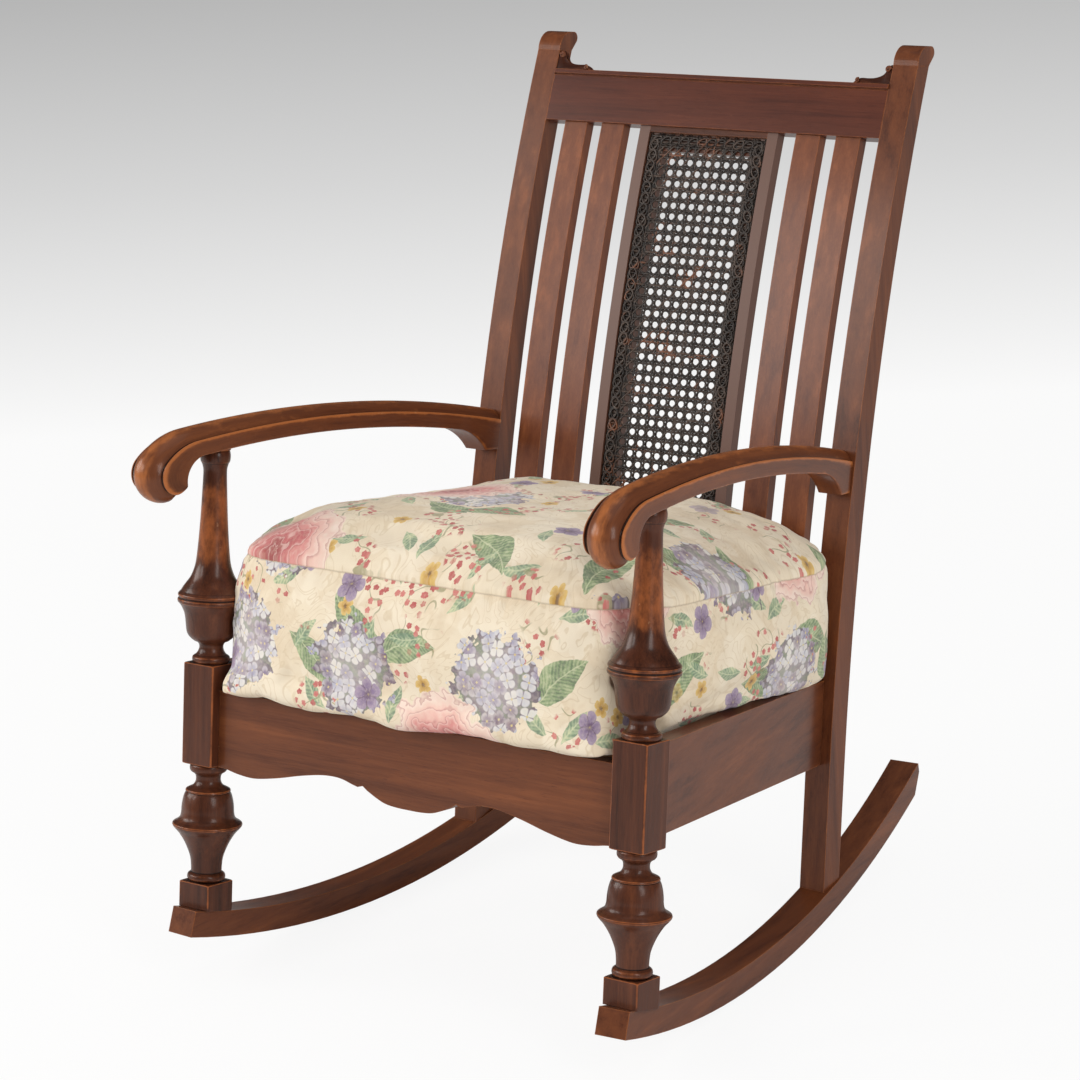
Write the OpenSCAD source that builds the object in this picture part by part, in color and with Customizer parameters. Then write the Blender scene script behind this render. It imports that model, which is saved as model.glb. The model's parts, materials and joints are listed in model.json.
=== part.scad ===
// Rocking chair with turned front posts, scrolled arms, a caned back and a deep loose cushion.
// The chair is drawn upright in its own frame, with the front faces of the front posts at y = 0
// and the bottoms of their feet at z = 0. Every piece is then leaned back onto its runners.

/* [Seat frame] */
// Width over the square blocks of the front posts
chair_w = 636; // [560:1:720]
// Width over the rear posts
back_w = 536; // [460:1:600]
// Front faces of the front posts to the front faces of the rear posts
seat_d = 462; // [420:1:520]
// Height of the seat rails' lower edges above the feet
rail_z = 180; // [160:1:200]
// Height of the side and rear rails
rail_h = 99.5; // [80:0.5:120]
// Thickness of the rails and the apron
rail_t = 22; // [16:0.5:28]
// How far the side rails stand inside the outer faces of the front posts
side_recess = 5; // [0:0.5:12]
// How far the side rails stand inside the outer faces of the rear posts
rear_recess = 13; // [6:0.5:20]
// How far the apron stands behind the front faces of the posts
apron_recess = 13; // [4:0.5:18]
// Top of the apron above the feet
apron_top = 254.5; // [240:0.5:270]
// Drop of the apron's deepest point below the rails
apron_drop = 20; // [10:0.5:30]
// Rise of the apron's arches above its deepest point
apron_arch = 21; // [10:0.5:30]

/* [Front posts] */
// Drop of the runners' upper arcs below the feet at the front
foot_reach = 1.9; // [0.5:0.1:4]
// Side of the square front posts
post_sq = 44; // [38:0.5:52]
// Height of the square feet
foot_h = 28; // [20:0.5:36]
// Bottom of the square blocks above the feet
block_z = 166; // [150:1:180]
// Height of the square blocks
block_h = 117.5; // [100:0.5:130]
// Largest radius of the lower turning
lower_rim_r = 40.3; // [32:0.1:46]
// Largest radius of the upper turning
upper_rim_r = 39.6; // [32:0.1:46]
// Chamfer along the blocks' upright corners
post_chamfer = 1.6; // [0.5:0.1:3]
// Depth of the turned shoulders on the blocks' corners
shoulder_d = 4; // [2:0.5:7]

/* [Rear posts and back] */
// Width of the rear posts across the chair
rear_post_w = 32.4; // [26:0.1:40]
// Depth of the rear posts at the seat
rear_post_d = 33.5; // [26:0.5:40]
// Height above the feet where the posts start to bend back
bend_z = 180; // [150:1:220]
// Bend radius of the posts' front faces
bend_r = 2730; // [2200:10:3400]
// Bend radius of the posts' back faces
back_bend_r = 2907; // [2400:10:3600]
// Height of the rear posts' tops above the feet
post_top_z = 1007; // [940:1:1060]
// Radius of the rounded front of the posts' tops
ear_r = 23; // [14:0.5:30]
// Height of the lower back rail's lower edge
low_rail_z = 333; // [315:1:350]
// Height of the lower back rail
low_rail_h = 52; // [40:1:60]
// Height of the crest rail's lower edge
crest_z = 900; // [860:1:930]
// Height of the crest rail
crest_h = 61.5; // [50:0.5:70]
// Thickness of the crest rail and the lower back rail
crest_t = 21; // [18:0.5:26]
// Height of the moulded lip along the crest
lip_h = 5; // [3:0.5:8]
// How far the lip stands out in front of the crest
lip_out = 2; // [1:0.5:4]
// Length of the carved scrolls along the crest
scroll_l = 50; // [36:1:64]
// Height of the carved scrolls
scroll_h = 26; // [18:1:34]
// Thickness of the carved scrolls
scroll_t = 14; // [10:0.5:18]
// Width of the back slats
slat_w = 32.6; // [26:0.1:38]
// Thickness of the back slats and the cane frame
slat_t = 14.5; // [10:0.5:18]
// How far the slats stand behind the front of the crest
slat_recess = 4; // [1:0.5:8]
// Clear gap between the rear posts and the outer slats
outer_gap = 27; // [20:0.1:34]
// Clear gap between the outer and the inner slats
slat_gap = 21.6; // [15:0.1:28]

/* [Caned panel] */
// Width over the cane frame
panel_w = 194.8; // [170:0.1:220]
// Width of the cane frame's raised border
border_w = 14.4; // [10:0.1:20]
// Height of the raised strip under the crest
strip_h = 7; // [4:0.5:12]
// Width of the ledge that carries the cane
ledge_w = 21; // [14:0.5:26]
// Depth of the ledge behind the raised border
ledge_depth = 4; // [2:0.5:6]
// Thickness of the woven cane
cane_t = 1.6; // [1:0.1:2.4]
// Openings across the woven cane
cane_columns = 9; // [6:1:9]
// Openings up the woven cane
cane_rows = 32; // [20:1:33]
// Width of a strand group in the cane
strand_w = 7; // [4:0.5:9]

/* [Arms] */
// Width of the arms over the front posts
arm_front_w = 50; // [42:0.5:58]
// Highest point of the arms' side faces above the feet
arm_z = 557.5; // [520:0.5:590]
// Depth of the arms' side faces
arm_t = 17.5; // [13:0.5:22]
// Rise of the rounded crown above the side faces
crown_h = 12.5; // [8:0.5:16]
// Radius of the arms' long curve
arm_r = 1700; // [1300:10:2400]
// Distance of the curve's top behind the front posts' axes
arm_peak_d = 173; // [140:1:210]
// Radius of the arms' shoulders
arm_shoulder_r = 80; // [60:1:100]
// Distance of the shoulders' centres ahead of the front posts' axes
arm_shoulder_d = 39.6; // [30:0.1:50]
// Radius of the scrolled fronts' side faces
knuckle_r = 20; // [16:0.5:24]
// Radius of the throats behind the scrolled fronts
throat_r = 31; // [24:0.5:38]
// Distance of the throats' centres ahead of the front posts' axes
throat_d = 36; // [30:0.5:42]
// Radius of the coves under the arms' rear ends
cove_r = 76; // [60:1:90]
// Distance of the coves' centres ahead of the rear posts
cove_d = 64; // [50:1:80]
// Drop of the cove's end below the arm's side faces
cove_drop = 48; // [36:1:56]

/* [Runners] */
// Thickness of the runners across the chair
runner_w = 37; // [30:0.5:44]
// Depth of the runners
runner_d = 30; // [24:0.5:38]
// Radius of the runners' rolling faces
runner_r = 1040; // [900:5:1300]
// Distance of the arcs' centres behind the front of the chair
runner_cy = 165; // [130:1:200]
// Distance of the runners' front ends ahead of the front posts
runner_front = 14; // [4:1:30]
// Distance of the runners' rear ends behind the rear posts' front faces
runner_rear = 250; // [200:1:290]
// How far the runners stand inside the feet's outer faces
runner_inset = 2.5; // [0:0.5:6]
// How far the runners stand outside the rear posts' outer faces
runner_outset = 4.8; // [0:0.1:8]
// Backward lean at which the chair rests on its runners, degrees
lean = 8.6; // [2:0.05:12]

/* [Seat deck and fixings] */
// Thickness of the seat slats
deck_t = 12; // [9:0.5:18]
// Gap between the seat slats and the rails and posts
deck_gap = 3; // [1:0.5:8]
// Width of a seat slat
deck_w = 58; // [40:1:70]
// Number of seat slats
deck_n = 5; // [4:1:6]
// Side of the cleats that carry the seat slats
cleat = 20; // [14:0.5:26]
// Length of the corner blocks along the rails
corner_l = 46; // [34:1:60]
// Height of the corner blocks
corner_h = 50; // [36:1:60]
// Radius of the dowels
dowel_r = 4.5; // [3:0.1:6]
// Length of the dowels
dowel_l = 36; // [24:1:40]
// Radial clearance round the dowels
dowel_fit = 0.1; // [0.05:0.01:0.3]

/* [Cushion] */
// Height of the cushion at its crown
cushion_h = 218; // [160:1:240]
// Height of the front seam above the bottom
seam_h = 158; // [110:1:170]
// Rise of the seam towards the back
seam_rise = 42; // [0:1:50]
// Gap between the cushion and the inner faces of the front posts
nose_gap = 19; // [12:1:40]
// How far the cushion's sides stand inside the outer faces of the front posts
side_gap = 18; // [10:1:50]
// How far the cushion's sides stand outside the rear posts at the back
rear_spread = 17; // [0:1:24]
// How far the front stands ahead of the front posts
cushion_front = 6; // [0:0.5:12]
// Shift of the crown towards the back
crown_shift = 30; // [0:1:60]
// How far the edges are drawn in at the seam
seam_in = 6; // [2:0.5:10]
// Clearance of the cushion from the wood
soft_gap = 0.4; // [0.3:0.1:1]

/* [Hidden] */
// Glue line between curved seats
glue = 0.1;
// Overrun of cuts
over = 5;
// How far a turning runs into the parts above and below it
bite = 1;
// Radius of the small roll at the back of the posts' tops
ear_roll = 7.6;
// Height of the seat slats above the apron's top
deck_lift = 0.8;
// Slope of the runners' front ends, as a share of their depth
front_slope_share = 0.36;
// Drop of the runners' rear tips below their upper arcs, as a share of their depth
tip_share = 0.45;
// Facets of a full turn for the large bends, and for turned work
bend_fn = 720;
turn_fn = 72;

wood = [0.33, 0.15, 0.09];
dark_wood = [0.24, 0.11, 0.07];
raw_wood = [0.66, 0.5, 0.33];
cane = [0.16, 0.11, 0.08];
fabric = [0.86, 0.8, 0.7];

// Places that several pieces share
post_x = (chair_w - post_sq) / 2;
post_y = post_sq / 2;
post_in = chair_w / 2 - post_sq;
rear_out = back_w / 2;
rear_in = rear_out - rear_post_w;
block_top = block_z + block_h;
rail_top = rail_z + rail_h;
rail_run = seat_d - post_sq;
rail_front_x = chair_w / 2 - side_recess;
rail_rear_x = rear_out - rear_recess;
rail_slope = (rail_front_x - rail_rear_x) / rail_run;
rail_across = rail_t * sqrt(1 + rail_slope * rail_slope);
rear_rail_y = seat_d + side_recess;
bend_y = seat_d + bend_r;
slat_front_r = bend_r - slat_recess;
slat_back_r = slat_front_r - slat_t;
runner_top_r = runner_r - runner_d;
runner_cz = runner_top_r - sag(runner_top_r, runner_cy) - foot_reach;
runner_run = seat_d;
runner_slope = (chair_w / 2 - runner_inset - rear_out - runner_outset) / runner_run;
runner_splay = atan(runner_slope);
cushion_z = apron_top + soft_gap + deck_lift;
deck_top = cushion_z - soft_gap;
low_rail_top = low_rail_z + low_rail_h;

// Drop of a circle of radius r at distance d from its lowest point
function sag(r, d) = r - sqrt(r * r - d * d);

// Front and back faces of the rear posts at height z
function post_front(z) = seat_d + (z > bend_z ? sag(bend_r, z - bend_z) : 0);
function post_back(z) = seat_d + rear_post_d + (z > bend_z ? sag(back_bend_r, z - bend_z) : 0);

// Angle of height z in the bend of the back
function bend_angle(z) = asin((z - bend_z) / bend_r);

// Outer face of the side rails at y
function rail_x(y) = rail_front_x - (y - post_sq) * rail_slope;

// Points of an arc about c from angle a to angle b in n steps
function arc(c, r, a, b, n) = [for (i = [0:n]) let (t = a + (b - a) * i / n) c + r * [cos(t), sin(t)]];

// Smooth curve through the points p, with n steps between neighbours
function at(p, i) = p[max(0, min(len(p) - 1, i))];
function blend(a, b, c, d, t) = b + t * ((c - a) / 2 + t * (a - 2.5 * b + 2 * c - d / 2
  + t * (b * 1.5 - c * 1.5 + (d - a) / 2)));
function smooth(p, n) = [for (i = [0:len(p) - 2], k = [0:n - 1])
  blend(at(p, i - 1), p[i], p[i + 1], at(p, i + 2), k / n), p[len(p) - 1]];

// Turned profile: smooth runs of [height, radius] shares, scaled to height h and radius r
function turned(runs, h, r, n) = [for (run = runs) for (q = smooth(run, n)) [q[1] * r, q[0] * h]];

// Arm: a moulded section between a lower edge and an upper edge, both made of arcs
arm_c = [post_y + arm_peak_d, arm_z - arm_r];
under_r = arm_r - arm_t;
function arm_over(y) = arm_c[1] + sqrt(arm_r * arm_r - pow(y - arm_c[0], 2));
function arm_under(y) = arm_c[1] + sqrt(under_r * under_r - pow(y - arm_c[0], 2));
shoulder_a = acos((-arm_shoulder_d - arm_peak_d) / (arm_r - arm_shoulder_r));
shoulder_c = arm_c + (arm_r - arm_shoulder_r) * [cos(shoulder_a), sin(shoulder_a)];
shoulder_0 = 135;
knuckle_c = shoulder_c + (arm_shoulder_r - knuckle_r) * [cos(shoulder_0), sin(shoulder_0)];
knuckle_0 = 318;
throat_a = acos((-throat_d - arm_peak_d) / (under_r - throat_r));
throat_c = arm_c + (under_r - throat_r) * [cos(throat_a), sin(throat_a)];
cove_a = acos((seat_d - cove_d - arm_c[0]) / (under_r - cove_r));
cove_c = arm_c + (under_r - cove_r) * [cos(cove_a), sin(cove_a)];
foot_z = arm_under(seat_d - cove_d) + arm_t - cove_drop;
cove_end_a = asin((foot_z - cove_c[1]) / cove_r);
long_y = shoulder_c[0] + arm_shoulder_r * cos(shoulder_a);
cove_y = cove_c[0] + cove_r * cos(cove_a);
end_y = post_front(arm_over(seat_d));
knuckle_n = 10;
shoulder_n = 5;
long_n = 12;
cove_n = 7;
// Upper edge: [point, direction of the crown, share of the crown]; the crown starts at the throat
function round_edge(c, r, a, b, n, first) = [for (i = [first:n]) let (t = a + (b - a) * i / n)
  [c + r * [cos(t), sin(t)], [cos(t), sin(t)], min(1, pow((knuckle_0 - t) / 43, 1.7))]];
function long_edge(a, b, n) = [for (i = [1:n]) let (y = a + (b - a) * i / n)
  [[y, arm_over(y)], ([y, arm_over(y)] - arm_c) / arm_r, 1]];
upper_edge = concat(
  round_edge(knuckle_c, knuckle_r, knuckle_0, shoulder_0, knuckle_n, 0),
  round_edge(shoulder_c, arm_shoulder_r, shoulder_0, shoulder_a, shoulder_n, 1),
  long_edge(long_y, cove_y, long_n),
  long_edge(cove_y, end_y, cove_n + 1)
);
lower_edge = concat(
  arc(throat_c, throat_r, 180, throat_a, knuckle_n + shoulder_n),
  [for (i = [1:long_n]) arc(arm_c, under_r, throat_a, cove_a, long_n)[i]],
  [for (i = [1:cove_n]) arc(cove_c, cove_r, cove_a, cove_end_a, cove_n)[i]],
  [[post_front(foot_z), foot_z]]
);
// Right half of the section from the bottom to the crown: shares of the half width, of the
// side's depth and of the crown's rise
arm_section_shares = [[0.93, 0, 0], [1, 0.09, 0], [1, 0.93, 0], [0.965, 1, 0.07], [0.9, 1, 0.08],
  [0.85, 1, -0.03], [0.78, 1, -0.02], [0.72, 1, 0.18], [0.64, 1, 0.43], [0.5, 1, 0.7],
  [0.33, 1, 0.88], [0.16, 1, 0.97], [0, 1, 1]];
function arm_x(y) = post_x + (rear_out - rear_post_w / 2 - post_x) * (y - post_y) / (seat_d - post_y);
function arm_half(y) = (arm_front_w + (rear_post_w - arm_front_w) * max(0, y - post_y)
  / (seat_d - post_y)) / 2;
function arm_ring(i) = let (
  lo = lower_edge[i],
  up = upper_edge[i],
  half = [for (q = arm_section_shares) [q[0], lo + (up[0] - lo) * q[1] + up[1] * crown_h * up[2] * q[2]]],
  m = len(half) - 1,
  full = concat(half, [for (k = [m - 1:-1:0]) [-half[k][0], half[k][1]]])
) [for (q = full) let (
  z = q[1][1],
  y = i == len(lower_edge) - 1 ? post_front(z) - glue : q[1][0]
) [arm_x(y) + q[0] * arm_half(y), y, z]];
arm_rings = [for (i = [0:len(lower_edge) - 1]) arm_ring(i)];

module stand() {
  translate([0, -origin_y, rest_z])
  rotate([-lean, 0, 0])
  children();
}

// The floor touches the rolling arcs, and the origin lies midway between the foremost of the
// arms and the runners and the rearmost of the runners' tips and the posts' tops
runner_rear_y = seat_d + runner_rear;
runner_tip_z = runner_cz - sqrt(runner_top_r * runner_top_r - pow(runner_rear_y - runner_cy, 2));
rest_z = runner_r - (runner_cz * cos(lean) - runner_cy * sin(lean));
function leaned_y(y, z) = y * cos(lean) + z * sin(lean);
runner_nose_z = runner_cz - sqrt(runner_r * runner_r - pow(runner_front + runner_cy, 2));
runner_nose_y = -runner_front - runner_d * front_slope_share
  * (1 - 2 * (runner_nose_z / runner_d + 2) / 3);
front_reach = min(concat(
  [leaned_y(runner_nose_y * cos(runner_splay) - runner_w * sin(runner_splay), runner_nose_z)],
  [for (r = arm_rings, p = r) leaned_y(p[1], p[2])]
));
rear_reach = max(
  leaned_y(runner_rear_y * cos(runner_splay), runner_tip_z - runner_d * tip_share),
  leaned_y(post_back(post_top_z - ear_r) + ear_roll / 2, post_top_z - ear_roll) + ear_roll
);
origin_y = (front_reach + rear_reach) / 2;

// Pieces on the left are the right ones mirrored
module side(s) {
  if (s > 0) children();
  if (s < 0) mirror([1, 0, 0]) children();
}

// Board bent with the back: its section is drawn as [distance from the bend's centre, x]
module bent(z0, z1) {
  translate([0, bend_y, bend_z])
  rotate([90, 0, -90])
  rotate([0, 0, bend_angle(z0)])
  rotate_extrude(angle = bend_angle(z1) - bend_angle(z0), $fn = bend_fn)
  children();
}

// Rectangle for bent(): r0 to r1 from the bend's centre, and from x0 to x1 across
module bent_section(r0, r1, x0, x1) {
  translate([r0, -x1])
  square([r1 - r0, x1 - x0]);
}

// Cylinder across the chair, about the point c = [y, z]
module across(c, r, fn) {
  translate([0, c[0], c[1]])
  rotate([0, 90, 0])
  cylinder(h = 2 * chair_w, r = r, center = true, $fn = fn);
}

// Space of the runner's plane: its outer face at x = 0, splayed like the runner
module runner_space() {
  translate([chair_w / 2 - runner_inset, 0, 0])
  rotate([0, 0, runner_splay])
  children();
}

// Solid cylinder whose surface is the runner's top, less the glue line
module runner_seat() {
  runner_space()
  translate([0, runner_cy, runner_cz])
  rotate([0, 90, 0])
  cylinder(h = 4 * runner_w, r = runner_top_r - glue, center = true, $fn = bend_fn);
}

// Runner: a bow between two arcs, with a sloping front end and a pointed rear end
tip_back_share = 0.5;
module runner_profile() {
  front = -runner_front;
  rear = runner_rear_y;
  tip_z = runner_tip_z;
  intersection() {
    difference() {
      translate([runner_cy, runner_cz])
      circle(r = runner_r, $fn = bend_fn);
      translate([runner_cy, runner_cz])
      circle(r = runner_top_r, $fn = bend_fn);
    }
    polygon([
      [front - runner_d * front_slope_share, -2 * runner_d],
      [front + runner_d * front_slope_share, runner_d],
      [rear - runner_d * tip_back_share, tip_z + runner_d],
      [rear, tip_z - runner_d * tip_share],
      [rear - runner_d * tip_back_share, tip_z - 2 * runner_d],
      [rear - runner_d * tip_back_share, -2 * runner_d]
    ]);
  }
}

module runner(s) {
  color(wood)
  stand()
  side(s)
  difference() {
    runner_space()
    rotate([90, 0, -90])
    mirror([1, 0, 0])
    linear_extrude(runner_w)
    runner_profile();
    dowel_bores(runner_dowel_places());
  }
}

// Turned work of the front posts, as smooth runs of [height, radius] shares
lower_turning_shares = [
  [[0, 0.44], [0.02, 0.53], [0.04, 0.545], [0.06, 0.525], [0.075, 0.46]],
  [[0.08, 0.437], [0.13, 0.442], [0.2, 0.47], [0.27, 0.55], [0.34, 0.66], [0.41, 0.81],
    [0.45, 0.93], [0.47, 0.985]],
  [[0.482, 1], [0.492, 0.99], [0.5, 0.955], [0.515, 0.87], [0.54, 0.79], [0.58, 0.755],
    [0.63, 0.745], [0.68, 0.722], [0.73, 0.68], [0.76, 0.63]],
  [[0.768, 0.645], [0.78, 0.63], [0.79, 0.57], [0.81, 0.44], [0.84, 0.37], [0.87, 0.352],
    [0.9, 0.37], [0.92, 0.43]],
  [[0.93, 0.49], [0.945, 0.525], [0.965, 0.535], [0.985, 0.525], [1, 0.49]]
];
upper_turning_shares = [
  [[0, 0.49], [0.008, 0.535], [0.017, 0.545], [0.027, 0.53], [0.034, 0.475]],
  [[0.036, 0.45], [0.05, 0.385], [0.068, 0.347], [0.085, 0.36], [0.098, 0.43]],
  [[0.102, 0.51], [0.115, 0.61], [0.13, 0.685], [0.148, 0.725], [0.18, 0.75], [0.21, 0.772],
    [0.236, 0.81], [0.263, 0.89], [0.279, 0.965]],
  [[0.283, 0.992], [0.29, 1], [0.297, 0.992], [0.302, 0.96]],
  [[0.306, 0.96], [0.312, 0.985], [0.32, 0.985], [0.328, 0.945]],
  [[0.333, 0.91], [0.35, 0.85], [0.37, 0.76], [0.395, 0.65], [0.424, 0.57], [0.46, 0.507],
    [0.51, 0.468], [0.58, 0.43], [0.68, 0.39], [0.78, 0.362], [0.87, 0.34], [0.9, 0.345],
    [0.922, 0.38]],
  [[0.926, 0.39], [0.935, 0.422], [0.955, 0.437], [0.975, 0.425], [0.987, 0.395]]
];
turned_steps = 3;

module turning(runs, z, h, r) {
  p = turned(runs, h, r, turned_steps);
  translate([post_x, post_y, z])
  rotate_extrude($fn = turn_fn)
  polygon(concat(
    [[0, -bite], [p[0][0] - bite, -bite], [p[0][0] - bite, 0]],
    p,
    [[p[len(p) - 1][0] - bite, p[len(p) - 1][1]], [p[len(p) - 1][0] - bite, p[len(p) - 1][1] + bite],
      [0, p[len(p) - 1][1] + bite]]
  ));
}

// Square block from z0 to z1, its upright corners chamfered and its ends turned off
module block(z0, z1, low, high) {
  a = post_sq / 2;
  b = a - post_chamfer;
  reach = a * sqrt(2);
  intersection() {
    translate([post_x, post_y, z0])
    linear_extrude(z1 - z0)
    polygon([[-a, -b], [-b, -a], [b, -a], [a, -b], [a, b], [b, a], [-b, a], [-a, b]]);
    translate([post_x, post_y, 0])
    rotate_extrude($fn = turn_fn)
    polygon([
      [0, z0],
      [low ? reach - shoulder_d : reach + over, z0],
      [reach, z0 + shoulder_d / 2],
      [reach, z1 - shoulder_d / 2],
      [high ? reach - shoulder_d : reach + over, z1],
      [0, z1]
    ]);
  }
}

collar_z = block_top + (arm_under(post_y) - block_top) * 0.987;
module front_post(s) {
  collar_r = upper_turning_shares[6][4][1] * upper_rim_r;
  color(wood)
  stand()
  side(s)
  difference() {
    union() {
      intersection() {
        block(-runner_d / 2, foot_h, false, true);
        runner_seat();
      }
      turning(lower_turning_shares, foot_h, block_z - foot_h, lower_rim_r);
      block(block_z, block_top, true, true);
      turning(upper_turning_shares, block_top, arm_under(post_y) - block_top, upper_rim_r);
      intersection() {
        translate([post_x, post_y, block_top + block_h])
        cylinder(h = arm_z - block_top - block_h, r = collar_r, $fn = turn_fn);
        across(arm_c, arm_r - arm_t - glue, bend_fn);
        translate([post_x, post_y, collar_z])
        cylinder(h = arm_z - collar_z, r = post_sq, $fn = turn_fn);
      }
    }
    dowel_bores(concat(side_dowel_places(), apron_dowel_places(), runner_dowel_places()));
  }
}

// Rear post: straight up to the bend, then bent back and thinned, with a rounded top
module rear_post_profile() {
  ear_z = post_top_z - ear_r;
  ear_y = post_front(ear_z) + ear_r;
  back = post_back(ear_z) - ear_y;
  low = -runner_d;
  back_y = seat_d + rear_post_d;
  difference() {
    translate([seat_d, low])
    square([bend_r / 8, ear_z - low]);
    difference() {
      translate([seat_d - over, bend_z])
      square([bend_r / 4, post_top_z]);
      translate([bend_y, bend_z])
      circle(r = bend_r, $fn = bend_fn);
    }
    translate([back_y, low - over])
    square([bend_r / 4, bend_z - low + over]);
    translate([back_y + back_bend_r, bend_z])
    circle(r = back_bend_r, $fn = bend_fn);
  }
  translate([ear_y, ear_z])
  polygon(concat(
    arc([0, 0], ear_r, 180, 90, 12),
    arc([back + ear_roll / 2, ear_r - ear_roll], ear_roll, 90, -30, 6),
    [[back, 0], [back - bite, -bite], [bite - ear_r, -bite]]
  ));
}

module rear_post(s) {
  color(wood)
  stand()
  side(s)
  difference() {
    intersection() {
      translate([rear_in, 0, 0])
      rotate([90, 0, 90])
      linear_extrude(rear_post_w)
      rear_post_profile();
      runner_seat();
    }
    dowel_bores(concat(side_dowel_places(), rear_dowel_places(), back_dowel_places(),
      runner_dowel_places()));
  }
}

// Apron, with its lower edge in arches: shares of the half width and of the arches' rise
apron_edge_shares = [
  [[0, 0], [0.06, 0.01], [0.12, 0.1], [0.17, 0.34], [0.215, 0.62]],
  [[0.235, 0.8], [0.262, 0.7]],
  [[0.29, 0.78], [0.34, 0.95], [0.39, 1], [0.46, 0.93], [0.56, 0.68], [0.67, 0.33], [0.77, 0.08],
    [0.83, 0.02], [0.9, 0.1], [0.96, 0.24], [1, 0.25]]
];
module front_apron() {
  base = rail_z - apron_drop;
  half = [for (run = apron_edge_shares) for (q = smooth(run, 4))
    [q[0] * post_in, base + q[1] * apron_arch]];
  n = len(half) - 1;
  other = [for (i = [n:-1:1]) [-half[i][0], half[i][1]]];
  color(wood)
  stand()
  difference() {
    translate([0, apron_recess + rail_t, 0])
    rotate([90, 0, 0])
    linear_extrude(rail_t)
    polygon(concat(other, half, [[post_in, apron_top], [-post_in, apron_top]]));
    for (s = [-1, 1])
      side(s)
      dowel_bores(apron_dowel_places());
  }
}

// Side rail between the posts, splayed in plan
module side_rail(s) {
  color(wood)
  stand()
  side(s)
  difference() {
    translate([0, 0, rail_z])
    linear_extrude(rail_h)
    polygon([
      [rail_x(post_sq), post_sq],
      [rail_x(seat_d), seat_d],
      [rail_x(seat_d) - rail_across, seat_d],
      [rail_x(post_sq) - rail_across, post_sq]
    ]);
    dowel_bores(side_dowel_places());
  }
}

module rear_seat_rail() {
  color(dark_wood)
  stand()
  difference() {
    translate([-rear_in, rear_rail_y, rail_z])
    cube([2 * rear_in, rail_t, rail_h]);
    for (s = [-1, 1])
      side(s)
      dowel_bores(rear_dowel_places());
  }
}

module lower_back_rail() {
  color(dark_wood)
  stand()
  difference() {
    bent(low_rail_z, low_rail_top)
    bent_section(bend_r - crest_t, bend_r, -rear_in, rear_in);
    for (s = [-1, 1])
      side(s)
      dowel_bores(back_dowel_places());
  }
}

// Crest rail with its moulded lip, a hollow under the lip and eased lower edge
module crest_rail() {
  crest_top = crest_z + crest_h;
  groove = lip_h / 3;
  color(wood)
  stand()
  difference() {
    bent(crest_z, crest_top)
    bent_section(bend_r - crest_t, bend_r + lip_out, -rear_in, rear_in);
    bent(crest_z - over, crest_top - lip_h - groove / 2)
    bent_section(bend_r, bend_r + lip_out + over, -2 * rear_in, 2 * rear_in);
    bent(crest_top - lip_h - groove, crest_top - lip_h)
    bent_section(bend_r - groove, bend_r + lip_out + 2 * over, -2 * rear_in, 2 * rear_in);
    for (s = [-1, 1])
      side(s)
      dowel_bores(back_dowel_places());
  }
}

// Carved scroll in the corner between the crest and a rear post, in shares of its length and height
scroll_edge_shares = [
  [[0, 1], [0.05, 1.02], [0.11, 0.97], [0.15, 0.86], [0.145, 0.74]],
  [[0.16, 0.68], [0.24, 0.52], [0.36, 0.4], [0.52, 0.34], [0.7, 0.33], [0.84, 0.29], [0.93, 0.17],
    [1, 0]]
];
module crest_scroll(s) {
  crest_top = crest_z + crest_h;
  edge = [for (run = scroll_edge_shares) for (q = smooth(run, 4)) [-q[0] * scroll_l, q[1] * scroll_h]];
  color(wood)
  stand()
  side(s)
  translate([0, bend_y, bend_z])
  rotate([-bend_angle(crest_top), 0, 0])
  translate([rear_in, -bend_r + crest_t / 2 + scroll_t / 2, glue])
  rotate([90, 0, 0])
  linear_extrude(scroll_t)
  polygon(concat([[0, 0]], edge));
}

// Back slats, counted from the left: outer, inner, inner, outer
module back_slat(i) {
  s = i < 3 ? -1 : 1;
  x1 = rear_in - outer_gap - ((i == 2 || i == 3) ? slat_w + slat_gap : 0);
  color(wood)
  stand()
  side(s)
  bent(low_rail_top, crest_z)
  bent_section(slat_back_r, slat_front_r, x1 - slat_w, x1);
}

// Frame of the caned panel: raised borders, with a ledge inside for the cane
module cane_stile(s) {
  x1 = panel_w / 2;
  x0 = x1 - border_w;
  color(dark_wood)
  stand()
  side(s)
  union() {
    bent(low_rail_top, crest_z)
    bent_section(slat_back_r, slat_front_r, x0, x1);
    bent(low_rail_top, crest_z - strip_h)
    bent_section(slat_back_r, slat_front_r - ledge_depth, x0 - ledge_w, x0);
  }
}

module cane_rail(z0, z1, ledge_z0, ledge_z1) {
  x = panel_w / 2 - border_w;
  color(dark_wood)
  stand()
  union() {
    bent(z0, z1)
    bent_section(slat_back_r, slat_front_r, -x, x);
    bent(ledge_z0, ledge_z1)
    bent_section(slat_back_r, slat_front_r - ledge_depth, ledge_w - x, x - ledge_w);
  }
}

module cane_top_rail() {
  z = crest_z - strip_h;
  cane_rail(z, crest_z, z - ledge_w, z);
}

module cane_bottom_rail() {
  color(dark_wood)
  stand()
  bent(low_rail_top, low_rail_top + ledge_w)
  bent_section(slat_back_r, slat_front_r - ledge_depth, ledge_w + border_w - panel_w / 2,
    panel_w / 2 - ledge_w - border_w);
}

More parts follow.
